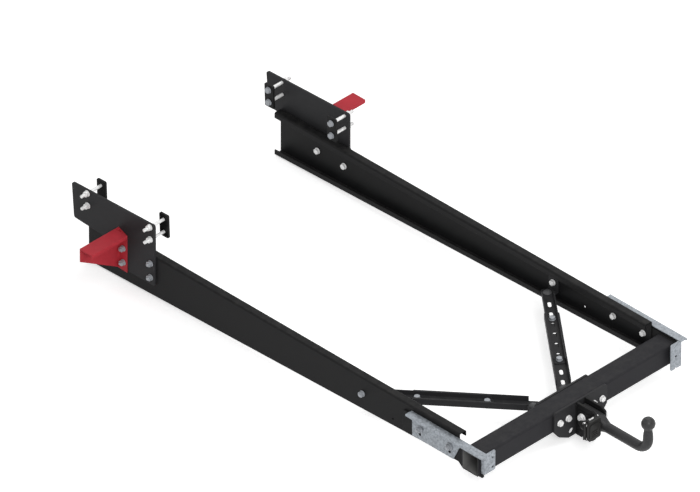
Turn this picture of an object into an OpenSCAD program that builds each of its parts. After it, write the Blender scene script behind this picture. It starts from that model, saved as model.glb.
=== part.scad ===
// Tow bar for a motorhome: chassis extension rails, cross beam, braces, swan neck and trailer socket.
// +X is the vehicle's right, +Y its front, +Z up. The origin is the centre of the coupling ball.
// The modules work from the axis of the cross beam, and place() moves them to the origin.

/* [Rails] */
// Half the width over the two rails
rail_out = 467; // [430:1:520]
// Width of a rail's flanges
rail_flange = 34; // [28:0.5:46]
// Sheet thickness of the rails
rail_t = 4; // [3:0.5:5]
// Outer radius of the rail's bends
rail_bend = 6.5; // [5.5:0.5:8]
// Height of the return lips
rail_lip = 22.5; // [14:0.5:28]
// Height of the rails' top above the beam's axis
rail_top = 75; // [70:1:85]
// Height of a rail at its rear end
rail_rear_h = 117; // [112:1:130]
// Angle of the rail's bottom edge, in degrees
rail_slope = 2; // [1:0.1:2.6]
// Rear end of the rails, forward of the beam's axis
rail_rear = 71; // [60:1:80]
// Length of the rails
rail_len = 1793; // [1780:1:1860]
// Drain hole in the rail's web
drain_d = 9; // [6:0.5:12]
// Place of the drain hole behind the brace's tab
drain_back = 146; // [80:1:180]

/* [Cross beam] */
// Outer size of the square tube
beam_size = 80; // [76:1:84]
// Wall of the square tube
beam_wall = 5; // [4:0.5:6]
// Corner radius of the square tube
beam_corner = 8; // [7:0.5:10]
// Length of the beam past the rails' outer faces, each side
beam_past = 19; // [8:1:40]

/* [Beam ends] */
// Thickness of the end plates
end_t = 7; // [5:0.5:8]
// Front end of the end plates
end_front = 334; // [300:1:340]
// Rear end of the end plates, behind the beam's axis
end_rear = 48; // [46:1:54]
// Rear bolt through rail, end plate and bumper bracket
beam_bolt_y = 108; // [100:1:116]
// Spacing of the two beam bolts
beam_bolt_step = 142; // [130:1:150]
// Height of the two beam bolts
beam_bolt_z = 9; // [4:1:14]

/* [Bumper brackets] */
// Sheet thickness of the bumper brackets
bumper_t = 3; // [2.5:0.5:4]
// Height of the top flange
bumper_top = 57.5; // [55:0.5:64]
// Width of the top flange
bumper_flange = 30; // [24:0.5:40]
// Depth of the lip on the top flange
bumper_lip = 8; // [6:0.5:14]
// Height of the side plate's lower edge
bumper_low = -34; // [-38:1:-30]
// Rear face of the bracket's rear flange, behind the beam's axis
bumper_rear = 60; // [56:1:70]
// Length of the top flange past the rear flange
bumper_past = 7; // [0:1:12]
// Front end of the bracket's top flange
bumper_front = 299; // [288:1:304]
// Inner edge of the rear flange, from the vehicle's middle
bumper_tab_in = 425; // [420:1:440]
// Height of the lower edge of the left bracket's rear flange
left_foot = -25; // [-34:1:-20]
// Height of the lower edge of the right bracket's rear flange
right_foot = -50; // [-56:1:-44]
// Diameter of the holes in the rear flange
bumper_hole_d = 9; // [6:0.5:11]
// Middle of the left bracket's holes, from the vehicle's middle
left_hole_x = 438; // [434:1:446]
// Spacing of the left bracket's two holes
left_hole_step = 38; // [34:1:44]
// Height of the left bracket's upper hole
left_hole_z = 29; // [24:1:34]
// Height of the right bracket's hole
right_hole_z = 1; // [-4:1:6]
// Length of the slots in the side plate
bumper_slot = 34; // [30:1:40]

/* [Chassis mounts] */
// Thickness of the outer mounting plates and the clamp plates
mount_t = 8; // [6:0.5:10]
// Rear edge of the mounting plates, behind the rails' front end
mount_back = 330; // [320:1:344]
// Length of the mounting plates
mount_len = 404; // [400:1:420]
// Height of the plate's top at its rear edge
mount_top = 211; // [208:1:220]
// Height of the plate's bottom edge
mount_bottom = -42; // [-50:1:-36]
// Slope of the vehicle's chassis member, in degrees
chassis_tilt = 2; // [0:0.1:3]
// Width of the chassis member between plate and clamp
chassis_gap = 57; // [45:1:70]
// Rear column of chassis bolts, from the plates' rear edge
chassis_bolt_edge = 19; // [17:1:26]
// Spacing of the two columns of chassis bolts
chassis_bolt_step = 306; // [290:1:315]
// Height of the lower chassis bolt in the rear column
chassis_bolt_z = 147; // [140:1:152]
// Spacing of the two bolts in a column
chassis_pair = 50; // [44:1:52]
// Width of a clamp plate
clamp_w = 42; // [38:1:50]
// Height of a clamp plate
clamp_h = 92; // [88:1:100]
// Spacing of the two columns of rail bolts
rail_bolt_step = 130; // [110:1:140]
// Height of the upper rail bolts
rail_bolt_z = 46; // [40:1:46]
// Spacing of the upper and lower rail bolts
rail_bolt_pair = 58; // [50:1:60]

/* [Outriggers] */
// Sheet thickness of the outriggers
out_t = 4; // [3:0.5:5]
// Reach of an outrigger past its mounting plate
out_reach = 187; // [150:1:220]
// Height of the outrigger's top flange
out_top = 122; // [116:1:130]
// Width of the outrigger's top flange
out_flange = 60; // [50:1:70]
// Depth of the web at its outer end
out_tip = 54; // [40:1:70]
// Depth of the web at the mounting plate
out_root = 168; // [160:1:170]
// Depth of the lip on the top flange
out_lip = 14; // [8:1:20]

/* [Braces] */
// Width of the outer brace channel
brace_w = 53; // [44:0.5:56]
// Height of the outer brace channel
brace_h = 24.5; // [20:0.5:26]
// Sheet thickness of the channels
brace_t = 4; // [3:0.5:4.5]
// Height of the outer channel's underside
brace_z = -27; // [-28:0.5:-25]
// Brace bolt on the beam side, sideways
brace_in_x = 74; // [70:1:80]
// Brace bolt on the beam side, forward of the beam's axis
brace_in_y = 105; // [98:1:110]
// Brace bolt on the rail side, inside the rail's outer face
brace_out_gap = 37; // [36:1:42]
// Brace bolt on the rail side, forward of the beam's axis
brace_out_y = 535; // [500:1:560]
// Length of each channel
brace_len = 441; // [438:1:446]
// Length of a slot
slot_len = 33; // [28:1:36]
// Width of a slot
slot_w = 13; // [13:0.1:14]
// Spacing of the slots
slot_step = 60; // [56:1:62]
// Length of bare web at the bolted end of a channel
brace_tongue = 38; // [30:1:44]
// First slot of the outer channel, from its bolt
outer_slot = 33.5; // [30:0.5:36]
// First slot of the inner channel, from its bolt on the rail side
inner_slot = 71; // [68:0.5:74]
// First clamping bolt, from the bolt on the beam side
brace_bolt = 158; // [156:1:160]
// Spacing of the two clamping bolts
brace_bolt_step = 240; // [238:1:242]

/* [Hitch head] */
// Thickness of the head's plates
head_t = 8; // [6:0.5:10]
// Half width of the head's plates
head_half = 128; // [125:1:150]
// Depth of the front plate's top below the beam's top
head_sink = 1; // [0:1:10]
// Depth of the head's plates below the beam
head_drop = 48; // [40:1:56]
// Outer pair of head bolts, from the middle
head_bolt_out = 102; // [98:1:108]
// Inner pair of head bolts, from the middle
head_bolt_in = 62; // [58:1:68]
// Height of the head bolts
head_bolt_z = -4; // [-10:1:4]
// Diameter of the cable eyes
eye_d = 24; // [18:1:26]
// Cable eyes, from the middle
eye_x = 44; // [43:1:50]
// Distance between the two cheeks
cheek_gap = 34; // [30:1:36]
// Rear end of the cheeks, behind the beam's axis
cheek_rear = 146; // [144:1:156]

/* [Swan neck] */
// Diameter of the coupling ball
ball_d = 50; // [48:0.1:52]
// Flat on top of the ball
ball_flat = 20; // [10:1:26]
// Diameter of the neck under the ball
shank_d = 29; // [27:0.5:29]
// Diameter of the neck's bar
neck_d = 36; // [34:0.5:38]
// Height of the neck's bar
neck_z = -10; // [-14:0.5:-6]
// Centreline radius of the neck's bend
neck_bend = 50; // [42:1:58]
// Ball's centre behind the beam's axis
ball_back = 368; // [340:1:400]
// Ball's centre above the beam's axis
ball_up = 104; // [95:1:115]
// First neck bolt behind the beam's axis
neck_bolt_y = 84; // [80:1:86]
// Spacing of the two neck bolts
neck_bolt_step = 42; // [38:1:43]
// Height of the neck bolts
neck_bolt_z = 0; // [-2:1:2]

/* [Trailer socket] */
// Middle of the socket, left of the neck
socket_x = 60; // [58:1:70]
// Height of the socket's middle
socket_z = 5; // [0:0.5:8]
// Width of the socket's flange
socket_w = 60; // [56:1:64]
// Height of the socket's flange
socket_h = 70; // [60:1:74]
// Sheet thickness of the socket's bracket
bracket_t = 3; // [2:0.5:4]
// Bore of the socket
socket_bore = 38; // [34:1:40]
// Depth of the wide mouth behind the rim
socket_depth = 9; // [7:1:10]
// Thickness of the lid
lid_t = 10; // [8:0.5:12]
// Diameter of the lid's hinge pin
pin_d = 4; // [3:0.1:5]
// Radial clearance of the lid on its pin
pin_fit = 0.05; // [0.02:0.01:0.09]
// Turns of the lid's spring
spring_turns = 6; // [4:1:8]
// Wire of the lid's spring
wire_d = 1.2; // [1:0.1:1.4]
// Number of outer contacts
contacts = 12; // [8:1:12]

/* [Fasteners] */
// Nominal diameter of the smaller bolts
bolt_d = 12; // [10:1:12]
// Width across flats of the smaller bolts
bolt_af = 19; // [16:0.5:20]
// Nominal diameter of the neck bolts
big_bolt_d = 16; // [14:1:16]
// Width across flats of the neck bolts
big_bolt_af = 24; // [22:0.5:25]
// Clearance on a bolt's diameter in its hole
hole_fit = 1; // [0.5:0.1:1.5]

/* [Hidden] */

black = [0.09, 0.09, 0.09];
zinc = [0.80, 0.81, 0.82];
galv = [0.66, 0.69, 0.72];
red = [0.66, 0.16, 0.18];
cut = 60;
rnd = 48;

rail_in = rail_out - rail_flange;
web_in = rail_out - rail_t;
rail_front = rail_rear + rail_len;
mount_rear = rail_front - mount_back;
chassis_bolt_y = mount_rear + chassis_bolt_edge;
beam_half = beam_size / 2;
end_out = rail_out + end_t;
bumper_out = end_out + bumper_t;
beam_end = rail_out + beam_past;
plate_out = rail_out + mount_t;
clamp_out = rail_out - chassis_gap;
hole_d = bolt_d + hole_fit;
big_hole_d = big_bolt_d + hole_fit;
washer_t = 2.5;
brace_out_x = rail_out - brace_out_gap;
brace_dx = brace_out_x - brace_in_x;
brace_dy = brace_out_y - brace_in_y;
brace_span = sqrt(brace_dx * brace_dx + brace_dy * brace_dy);
brace_turn = atan2(brace_dx, brace_dy);
brace_past = 20;
dome_r = 20;
dome_h = 8;
brace_fit = 0.3;
inner_z = brace_z + brace_t;
inner_w = brace_w - 2 * (brace_t + brace_fit);
tab_t = 5;
rear_face = beam_half + head_t;
cheek_out = cheek_gap / 2 + head_t;
bracket_y = cheek_rear + 4;
flange_t = 8;
pin_back = 5.5;
knuckle_d = pin_d + 5;
lid_gap = 0.6;
pin_up = socket_h / 2 + knuckle_d / 2 + lid_gap;

// The bottom of a rail at a place along it
function rail_bottom(y) = rail_top - rail_rear_h - (y - rail_rear) * tan(rail_slope);

// A flat outline with each corner rounded to the radius r
function corner(a, p, b, r) =
    let (u = (a - p) / norm(a - p), v = (b - p) / norm(b - p))
    let (half = acos(max(-1, min(1, u * v))) / 2)
    let (mid = p + (u + v) / norm(u + v) * r / sin(half))
    let (s = p + u * r / tan(half) - mid, e = p + v * r / tan(half) - mid)
    let (from = atan2(s[1], s[0]), to = atan2(e[1], e[0]))
    let (turn = to - from > 180 ? to - from - 360 : (to - from < -180 ? to - from + 360 : to - from))
    [for (k = [0:5]) mid + r * [cos(from + turn * k / 5), sin(from + turn * k / 5)]];
function rounded(pts, r) =
    let (n = len(pts))
    [for (i = [0:n - 1]) each corner(pts[(i + n - 1) % n], pts[i], pts[(i + 1) % n], r)];

// A square outline with round corners, from its two corners
module soft_square(low, high, r) {
    translate([low[0] + r, low[1]]) square([high[0] - low[0] - 2 * r, high[1] - low[1]]);
    translate([low[0], low[1] + r]) square([high[0] - low[0], high[1] - low[1] - 2 * r]);
    for (x = [low[0] + r, high[0] - r], y = [low[1] + r, high[1] - r])
        translate([x, y]) circle(r, $fn = rnd);
}

// Outlines in Y and Z pushed along X, outlines in X and Z pushed along Y
module along_x(from, to) {
    translate([from, 0, 0]) rotate([90, 0, 90]) linear_extrude(to - from) children();
}
module along_y(from, to) {
    translate([0, to, 0]) rotate([90, 0, 0]) linear_extrude(to - from) children();
}
module hole_x(y, z, d, from, to) {
    translate([from, y, z]) rotate([0, 90, 0]) cylinder(d = d, h = to - from, $fn = rnd);
}
module hole_y(x, z, d, from, to) {
    translate([x, from, z]) rotate([-90, 0, 0]) cylinder(d = d, h = to - from, $fn = rnd);
}

module place() {
    translate([0, ball_back, -ball_up]) children();
}
module on_left() {
    mirror([1, 0, 0]) children();
}

// A hexagon with chamfered corners on its outer end
module hex_block(af, h) {
    intersection() {
        cylinder(d = af / cos(30), h = h, $fn = 6);
        union() {
            cylinder(d = af / cos(30) + 1, h = h * 0.8, $fn = rnd);
            translate([0, 0, h * 0.8]) cylinder(d1 = af / cos(30) + 1, d2 = af * 0.96, h = h * 0.2, $fn = rnd);
        }
    }
}

// A bolt with its washer: the joint's near face is at z = 0 and the shank runs along +Z
module bolt(d, af, shank) {
    translate([0, 0, -washer_t]) cylinder(d = af * 1.26, h = washer_t, $fn = rnd);
    translate([0, 0, -washer_t]) mirror([0, 0, 1]) hex_block(af, d * 0.63);
    translate([0, 0, -washer_t - 1]) cylinder(d = d, h = shank + washer_t, $fn = rnd);
    translate([0, 0, shank - 1]) cylinder(d1 = d, d2 = d - 2, h = 1.5, $fn = rnd);
}
// A nut with its washer on a face at z = 0
module nut(d, af, washer_d) {
    difference() {
        union() {
            cylinder(d = washer_d, h = washer_t, $fn = rnd);
            translate([0, 0, washer_t]) hex_block(af, d * 0.83);
        }
        translate([0, 0, -1]) cylinder(d = d + 0.1, h = d * 0.83 + washer_t + 2, $fn = rnd);
    }
}
module bolt_set(d, af, grip, past, washer = 1.26) {
    bolt(d, af, grip + washer_t + d * 0.83 + past);
    translate([0, 0, grip]) nut(d, af, af * washer);
}
module bolt_out(x, y, z, grip, past, washer = 1.26) {
    translate([x, y, z]) rotate([0, 90, 0]) bolt_set(bolt_d, bolt_af, grip, past, washer);
}

// The rail's outer block: grow takes the sheet off for the inside
module rail_block(inset) {
    r = rail_bend - inset;
    low = rail_top - rail_rear_h * 2;
    intersection() {
        along_y(rail_rear - (inset > 0 ? 1 : 0), rail_front + (inset > 0 ? 1 : 0)) {
            translate([rail_in + inset, low]) square([rail_flange - 2 * inset, rail_top - inset - r - low]);
            translate([rail_in + inset + r, low]) square([rail_flange - 2 * (inset + r), rail_top - inset - low]);
            for (x = [rail_in + inset + r, rail_out - inset - r])
                translate([x, rail_top - inset - r]) circle(r, $fn = rnd);
        }
        translate([0, rail_rear, rail_top - rail_rear_h]) rotate([-rail_slope, 0, 0])
        along_y(-20, rail_len + 40) {
            translate([rail_in + inset, inset + r]) square([rail_flange - 2 * inset, rail_rear_h * 2]);
            translate([rail_in + inset + r, inset])
                square([rail_flange - 2 * (inset + r), rail_rear_h * 2]);
            for (x = [rail_in + inset + r, rail_out - inset - r])
                translate([x, inset + r]) circle(r, $fn = rnd);
        }
    }
}

// A rail: a C with return lips, whose bottom edge drops to the front
module rail() {
    lip_low = rail_top - rail_rear_h + rail_lip;
    color(black) difference() {
        rail_block(0);
        rail_block(rail_t);
        along_x(rail_in - 1, rail_in + rail_t + 1)
            polygon([
                [rail_rear - 1, lip_low + tan(rail_slope)],
                [rail_rear - 1, rail_top - rail_lip],
                [rail_front + 1, rail_top - rail_lip],
                [rail_front + 1, lip_low - (rail_len + 1) * tan(rail_slope)]
            ]);
        for (i = [0:1]) hole_x(beam_bolt_y + i * beam_bolt_step, beam_bolt_z, hole_d, web_in - 1, rail_out + 1);
        for (i = [0:1], j = [0:1])
            hole_x(chassis_bolt_y + i * rail_bolt_step, rail_bolt_z - j * rail_bolt_pair, hole_d,
                web_in - 1, rail_out + 1);
        hole_x(brace_out_y, beam_bolt_z, hole_d, web_in - 1, rail_out + 1);
        hole_x(brace_out_y - drain_back, inner_z, drain_d, web_in - 1, rail_out + 1);
    }
}

// The square tube, with the head bolts' holes through its front and rear walls
module cross_beam() {
    color([0.22, 0.22, 0.24]) difference() {
        along_x(-beam_end, beam_end) difference() {
            soft_square([-beam_half, -beam_half], [beam_half, beam_half], beam_corner);
            soft_square([-beam_half + beam_wall, -beam_half + beam_wall],
                [beam_half - beam_wall, beam_half - beam_wall], beam_corner - beam_wall);
        }
        for (x = [-head_bolt_out, -head_bolt_in, head_bolt_in, head_bolt_out])
            hole_y(x, head_bolt_z, hole_d, -beam_half - 1, beam_half + 1);
    }
}

// The end plate: a cheek round the beam that reaches along the outside of the rail's web
module end_plate() {
    rim = beam_half + 7;
    low = -beam_half + 6;
    color(black) difference() {
        along_x(rail_out, end_out) difference() {
            polygon(rounded([
                [-end_rear, -rim], [-end_rear, rim], [end_front, rim], [end_front, low],
                [rail_rear - 4, low], [rail_rear - 18, -rim]
            ], 5));
            soft_square([-beam_half - brace_fit, -beam_half - brace_fit],
                [beam_half + brace_fit, beam_half + brace_fit], beam_corner);
        }
        for (i = [0:1])
            hole_x(beam_bolt_y + i * beam_bolt_step, beam_bolt_z, hole_d, rail_out - 1, end_out + 1);
    }
}

// The galvanised bumper bracket: side plate, top flange with a lip, and rear flange
module bumper_bracket(foot) {
    reach = bumper_slot - hole_d;
    beam_gap = beam_half + 3;
    front = bumper_front - 13;
    edge = rail_out + bumper_flange;
    flange_rear = -bumper_rear - bumper_past;
    color(galv) difference() {
        union() {
            along_x(end_out, bumper_out) difference() {
                polygon([
                    [-bumper_rear, foot], [-bumper_rear, bumper_top - bumper_t],
                    [bumper_front, bumper_top - bumper_t], [bumper_front, bumper_top - 14],
                    [front, bumper_top - 22], [front, bumper_low], [beam_gap + 46, bumper_low],
                    [beam_gap + 20, beam_half - 18], [beam_gap + 6, beam_gap],
                    [-beam_gap, beam_gap], [-beam_gap, foot]
                ]);
                for (i = [0:1]) translate([beam_bolt_y + i * beam_bolt_step, beam_bolt_z - reach / 2]) {
                    square([hole_d, reach], center = true);
                    for (s = [-1, 1]) translate([0, s * reach / 2]) circle(d = hole_d, $fn = rnd);
                }
            }
            translate([rail_out, flange_rear, bumper_top - bumper_t])
                cube([bumper_flange, bumper_front - flange_rear, bumper_t]);
            translate([edge - bumper_t, flange_rear, bumper_top - bumper_lip])
                cube([bumper_t, bumper_front - flange_rear, bumper_lip]);
            along_y(-bumper_rear, -bumper_rear + bumper_t) {
                soft_square([bumper_tab_in, foot], [bumper_out - 1, bumper_top], 7);
                translate([end_out - 8, foot]) square([bumper_t + 8, bumper_top - foot]);
            }
        }
        children();
    }
}
module left_bracket() {
    bumper_bracket(left_foot) for (i = [0:1])
        hole_y(left_hole_x, left_hole_z - i * left_hole_step, bumper_hole_d,
            -bumper_rear - 1, -bumper_rear + bumper_t + 1);
}
module right_bracket() {
    middle = (bumper_tab_in + bumper_out) / 2;
    bumper_bracket(right_foot) {
        hole_y(middle, right_hole_z, bumper_hole_d, -bumper_rear - 1, -bumper_rear + bumper_t + 1);
        hole_y(middle, right_foot, bumper_hole_d, -bumper_rear - 1, -bumper_rear + bumper_t + 1);
    }
}

// The bolts from the rail's inside to the bracket, with wide washers over its slots
module beam_bolts() {
    color(zinc) for (i = [0:1])
        bolt_out(web_in, beam_bolt_y + i * beam_bolt_step, beam_bolt_z, bumper_out - web_in, 4, 1.5);
}

// Height of the chassis bolts' line at a place along the plate
function chassis_line(y) = chassis_bolt_z - (y - chassis_bolt_y) * tan(chassis_tilt);

module chassis_points() {
    for (i = [0:1]) {
        y = chassis_bolt_y + i * chassis_bolt_step;
        for (j = [0:1]) translate([0, y + j * chassis_pair * sin(chassis_tilt), chassis_line(y) + j * chassis_pair])
            children();
    }
}

// The outer mounting plate, whose top follows the vehicle's chassis member
module mount_plate() {
    front = mount_rear + mount_len;
    drop = mount_len * tan(chassis_tilt);
    color(black) difference() {
        along_x(rail_out, plate_out) polygon(rounded([
            [mount_rear, mount_bottom], [mount_rear, mount_top], [front, mount_top - drop],
            [front - 10, 54], [chassis_bolt_y + rail_bolt_step + 78, 46],
            [chassis_bolt_y + rail_bolt_step + 30, mount_bottom]
        ], 9));
        chassis_points() rotate([0, 90, 0]) translate([0, 0, rail_out - 1])
            cylinder(d = hole_d, h = mount_t + 2, $fn = rnd);
        for (i = [0:1], j = [0:1])
            hole_x(chassis_bolt_y + i * rail_bolt_step, rail_bolt_z - j * rail_bolt_pair, hole_d,
                rail_out - 1, plate_out + 1);
    }
}

// An inner clamp plate over one pair of chassis bolts
module clamp_plate(column) {
    y = chassis_bolt_y + column * chassis_bolt_step + chassis_pair / 2 * sin(chassis_tilt);
    z = chassis_line(chassis_bolt_y + column * chassis_bolt_step) + chassis_pair / 2;
    color(black) difference() {
        translate([0, y, z]) rotate([-chassis_tilt, 0, 0]) along_x(clamp_out - mount_t, clamp_out)
            soft_square([-clamp_w / 2, -clamp_h / 2], [clamp_w / 2, clamp_h / 2], 5);
        chassis_points() rotate([0, 90, 0]) translate([0, 0, clamp_out - mount_t - 1])
            cylinder(d = hole_d, h = mount_t + 2, $fn = rnd);
    }
}

module chassis_bolts() {
    color(zinc) chassis_points() translate([clamp_out - mount_t, 0, 0]) rotate([0, 90, 0])
        bolt_set(bolt_d, bolt_af, chassis_gap + 2 * mount_t, 18);
}

module rail_bolts() {
    color(zinc) for (i = [0:1], j = [0:1])
        bolt_out(web_in, chassis_bolt_y + i * rail_bolt_step, rail_bolt_z - j * rail_bolt_pair,
            plate_out - web_in + i * out_t, 5);
}

// The red outrigger: a bolted flange, a tapered web and a top flange with a lip
module outrigger() {
    web_y = chassis_bolt_y + rail_bolt_step + 22;
    tip = plate_out + out_reach;
    flange_y = web_y - 39;
    start = plate_out + 18;
    color(red) difference() {
        union() {
            along_y(web_y, web_y + out_t) polygon([
                [plate_out, out_top - out_root], [plate_out, out_top], [tip, out_top], [tip, out_top - out_tip]
            ]);
            along_x(plate_out, plate_out + out_t) polygon([
                [flange_y, out_top - out_root - 2], [flange_y, out_top - 18],
                [web_y + out_t, out_top], [web_y + out_t, out_top - out_root]
            ]);
            along_y(web_y + out_t - out_flange, web_y + out_t)
                translate([start, out_top - out_t]) square([tip - start, out_t]);
            along_y(web_y + out_t - out_flange, web_y + 2 * out_t - out_flange)
                translate([start, out_top - out_lip]) square([tip - start, out_lip]);
        }
        for (j = [0:1])
            hole_x(chassis_bolt_y + rail_bolt_step, rail_bolt_z - j * rail_bolt_pair, hole_d,
                plate_out - 1, plate_out + out_t + 1);
    }
}

// The L tab on the rail's web that carries the brace
module brace_angle() {
    half = 22;
    color(black) difference() {
        union() {
            along_x(web_in - tab_t, web_in)
                soft_square([brace_out_y - half, inner_z - tab_t], [brace_out_y + half, beam_bolt_z + half], 4);
            translate([0, 0, inner_z - tab_t]) linear_extrude(tab_t)
                soft_square([brace_out_x - half, brace_out_y - half], [web_in, brace_out_y + half], 8);
        }
        hole_x(brace_out_y, beam_bolt_z, hole_d, web_in - tab_t - 1, web_in + 1);
        translate([brace_out_x, brace_out_y, inner_z - tab_t - 1]) cylinder(d = hole_d, h = tab_t + 2, $fn = rnd);
    }
}
module angle_bolt() {
    color(zinc) bolt_out(web_in - tab_t, brace_out_y, beam_bolt_z, rail_t + tab_t, 3);
}

// The brace's own frame: origin at its bolt on the beam side, +Y towards the rail
module brace_frame() {
    translate([brace_in_x, brace_in_y, 0]) rotate([0, 0, -brace_turn]) children();
}
module slot_outline() {
    square([slot_w, slot_len - slot_w], center = true);
    for (s = [-1, 1]) translate([0, s * (slot_len - slot_w) / 2]) circle(d = slot_w, $fn = rnd);
}
// A channel with its web at the bottom: the web runs from tip to end, the flanges from bare to full
module channel(w, z, h, web, sides, slots, holes) {
    difference() {
        union() {
            translate([0, 0, z]) linear_extrude(brace_t) soft_square([-w / 2, web[0]], [w / 2, web[1]], 10);
            for (s = [-1, 1]) translate([s * (w - brace_t) / 2 - brace_t / 2, sides[0], z])
                cube([brace_t, sides[1] - sides[0], h]);
        }
        for (y = slots) translate([0, y, z - 1]) linear_extrude(brace_t + 2) slot_outline();
        for (y = holes) translate([0, y, z - 1]) cylinder(d = hole_d, h = brace_t + 2, $fn = rnd);
    }
}
module brace_outer() {
    end = brace_len - brace_past;
    color(black) brace_frame() channel(brace_w, brace_z, brace_h, [-brace_past, end],
        [brace_tongue - brace_past, end - 8], [for (k = [0:6]) outer_slot + k * slot_step], [0]);
}
module brace_inner() {
    end = brace_span + brace_past;
    color(black) brace_frame() channel(inner_w, inner_z, brace_h - brace_t, [end - brace_len, end],
        [end - brace_len + 8, end - brace_tongue], [for (k = [0:5]) brace_span - inner_slot - k * slot_step],
        [brace_bolt, brace_bolt + brace_bolt_step, brace_span]);
}
module brace_bolts() {
    color(zinc) brace_frame() for (i = [0:1])
        translate([0, brace_bolt + i * brace_bolt_step, inner_z + brace_t]) rotate([180, 0, 0])
            bolt_set(bolt_d, bolt_af, 2 * brace_t, 2);
}
// A domed bolt with a low nut, for both ends of the brace: its head sits on z = 0
module domed_bolt(grip) {
    low_nut = bolt_d / 2;
    translate([0, 0, -grip - low_nut]) cylinder(d = bolt_d, h = grip + low_nut + 1, $fn = rnd);
    intersection() {
        translate([0, 0, dome_h - dome_r]) sphere(r = dome_r, $fn = rnd);
        cylinder(d = 2 * dome_r, h = dome_h + 1, $fn = rnd);
    }
    translate([0, 0, -grip]) rotate([180, 0, 0]) difference() {
        hex_block(bolt_af, low_nut);
        translate([0, 0, -1]) cylinder(d = bolt_d + 0.1, h = low_nut + 2, $fn = rnd);
    }
}
module brace_pivots() {
    color([0.16, 0.16, 0.16]) brace_frame() {
        translate([0, 0, brace_z + brace_t]) domed_bolt(brace_t + tab_t);
        translate([0, brace_span, inner_z + brace_t]) domed_bolt(brace_t + tab_t);
    }
}

// The head's front plate with its two tabs for the braces
module head_front_plate() {
    top = beam_half - head_sink;
    color(black) difference() {
        union() {
            along_y(beam_half, rear_face) polygon(rounded([
                [-head_half, top], [head_half, top], [head_half, -beam_half - 8],
                [head_half - 26, -beam_half - head_drop / 2], [-head_half + 26, -beam_half - head_drop / 2],
                [-head_half, -beam_half - 8]
            ], 12));
            for (s = [-1, 1]) translate([s * brace_in_x, 0, brace_z - tab_t]) linear_extrude(tab_t)
                polygon(rounded([
                    [-30, rear_face - 20], [30, rear_face - 20], [30, rear_face + 18],
                    [19, brace_in_y + 19], [-19, brace_in_y + 19], [-30, rear_face + 18]
                ], 6));
        }
        translate([-head_half, 0, brace_z - tab_t - 1]) cube([2 * head_half, beam_half, tab_t + 2]);
        for (s = [-1, 1]) translate([s * brace_in_x, brace_in_y, brace_z - tab_t - 1])
            cylinder(d = hole_d, h = tab_t + 2, $fn = rnd);
        head_holes(beam_half);
    }
}
module head_holes(from) {
    for (x = [-head_bolt_out, -head_bolt_in, head_bolt_in, head_bolt_out])
        hole_y(x, head_bolt_z, hole_d, from - 1, from + head_t + 1);
}
// The head's rear plate, with a cable eye each side of the cheeks
module head_rear_plate() {
    low = -beam_half - head_drop;
    color(black) difference() {
        along_y(-rear_face, -beam_half) polygon(rounded([
            [-head_half, beam_half + 4], [head_half, beam_half + 4], [head_half, -beam_half + 6],
            [head_half - 24, low + 24], [eye_x + 14, low], [-eye_x - 14, low],
            [-head_half + 24, low + 24], [-head_half, -beam_half + 6]
        ], 11));
        head_holes(-rear_face);
        for (s = [-1, 1]) hole_y(s * eye_x, low + 22, eye_d, -rear_face - 1, -beam_half + 1);
    }
}
// A cheek that clamps the neck
module cheek() {
    low = -beam_half - head_drop;
    color(black) difference() {
        along_x(cheek_gap / 2, cheek_out) polygon(rounded([
            [-rear_face, low], [-rear_face, beam_half + 4], [-cheek_rear + 22, beam_half + 4],
            [-cheek_rear, beam_half - 8], [-cheek_rear, neck_z - 24], [-rear_face - 66, neck_z - 34],
            [-rear_face - 30, low]
        ], 7));
        for (i = [0:1]) hole_x(-neck_bolt_y - i * neck_bolt_step, neck_bolt_z, big_hole_d,
            cheek_gap / 2 - 1, cheek_out + 1);
    }
}
module head_bolts() {
    color(zinc) for (x = [-head_bolt_out, -head_bolt_in, head_bolt_in, head_bolt_out])
        translate([x, -rear_face, head_bolt_z]) rotate([-90, 0, 0])
            bolt_set(bolt_d, bolt_af, 2 * rear_face, 5);
}

// The swan neck: a forged bar with a flat tang, a bend, a tapered shank and the ball
module swan_neck() {
    bend_z = neck_z + neck_bend;
    tang_front = rear_face + 6;
    tang_rear = cheek_rear + 12;
    color([0.15, 0.15, 0.15]) difference() {
        union() {
            along_x(-cheek_gap / 2 + 0.1, cheek_gap / 2 - 0.1) polygon(rounded([
                [-tang_front, neck_z - 22], [-tang_front, neck_bolt_z + 25], [-tang_rear + 14, neck_bolt_z + 25],
                [-tang_rear, neck_z + 10], [-tang_rear, neck_z - 10], [-tang_rear + 14, neck_z - 22]
            ], 6));
            translate([0, neck_bend - ball_back, neck_z]) rotate([-90, 0, 0])
                cylinder(d = neck_d, h = ball_back - neck_bend - tang_rear + 8, $fn = cut);
            translate([0, neck_bend - ball_back, bend_z]) rotate([90, 0, -90])
                rotate_extrude(angle = -90, $fn = cut) translate([neck_bend, 0]) circle(d = neck_d, $fn = cut);
            translate([0, -ball_back, bend_z]) cylinder(d = neck_d, h = 6, $fn = cut);
            translate([0, -ball_back, bend_z + 6])
                cylinder(d1 = neck_d, d2 = shank_d, h = ball_up - bend_z - 6 - ball_d * 0.46, $fn = cut);
            translate([0, -ball_back, bend_z]) cylinder(d = shank_d, h = ball_up - bend_z, $fn = cut);
            translate([0, -ball_back, ball_up]) sphere(d = ball_d, $fn = cut);
        }
        translate([0, -ball_back, ball_up + sqrt(ball_d * ball_d - ball_flat * ball_flat) / 2])
            cylinder(d = ball_d, h = ball_d, $fn = cut);
        for (i = [0:1]) hole_x(-neck_bolt_y - i * neck_bolt_step, neck_bolt_z, big_hole_d,
            -cheek_gap, cheek_gap);
    }
}
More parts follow.
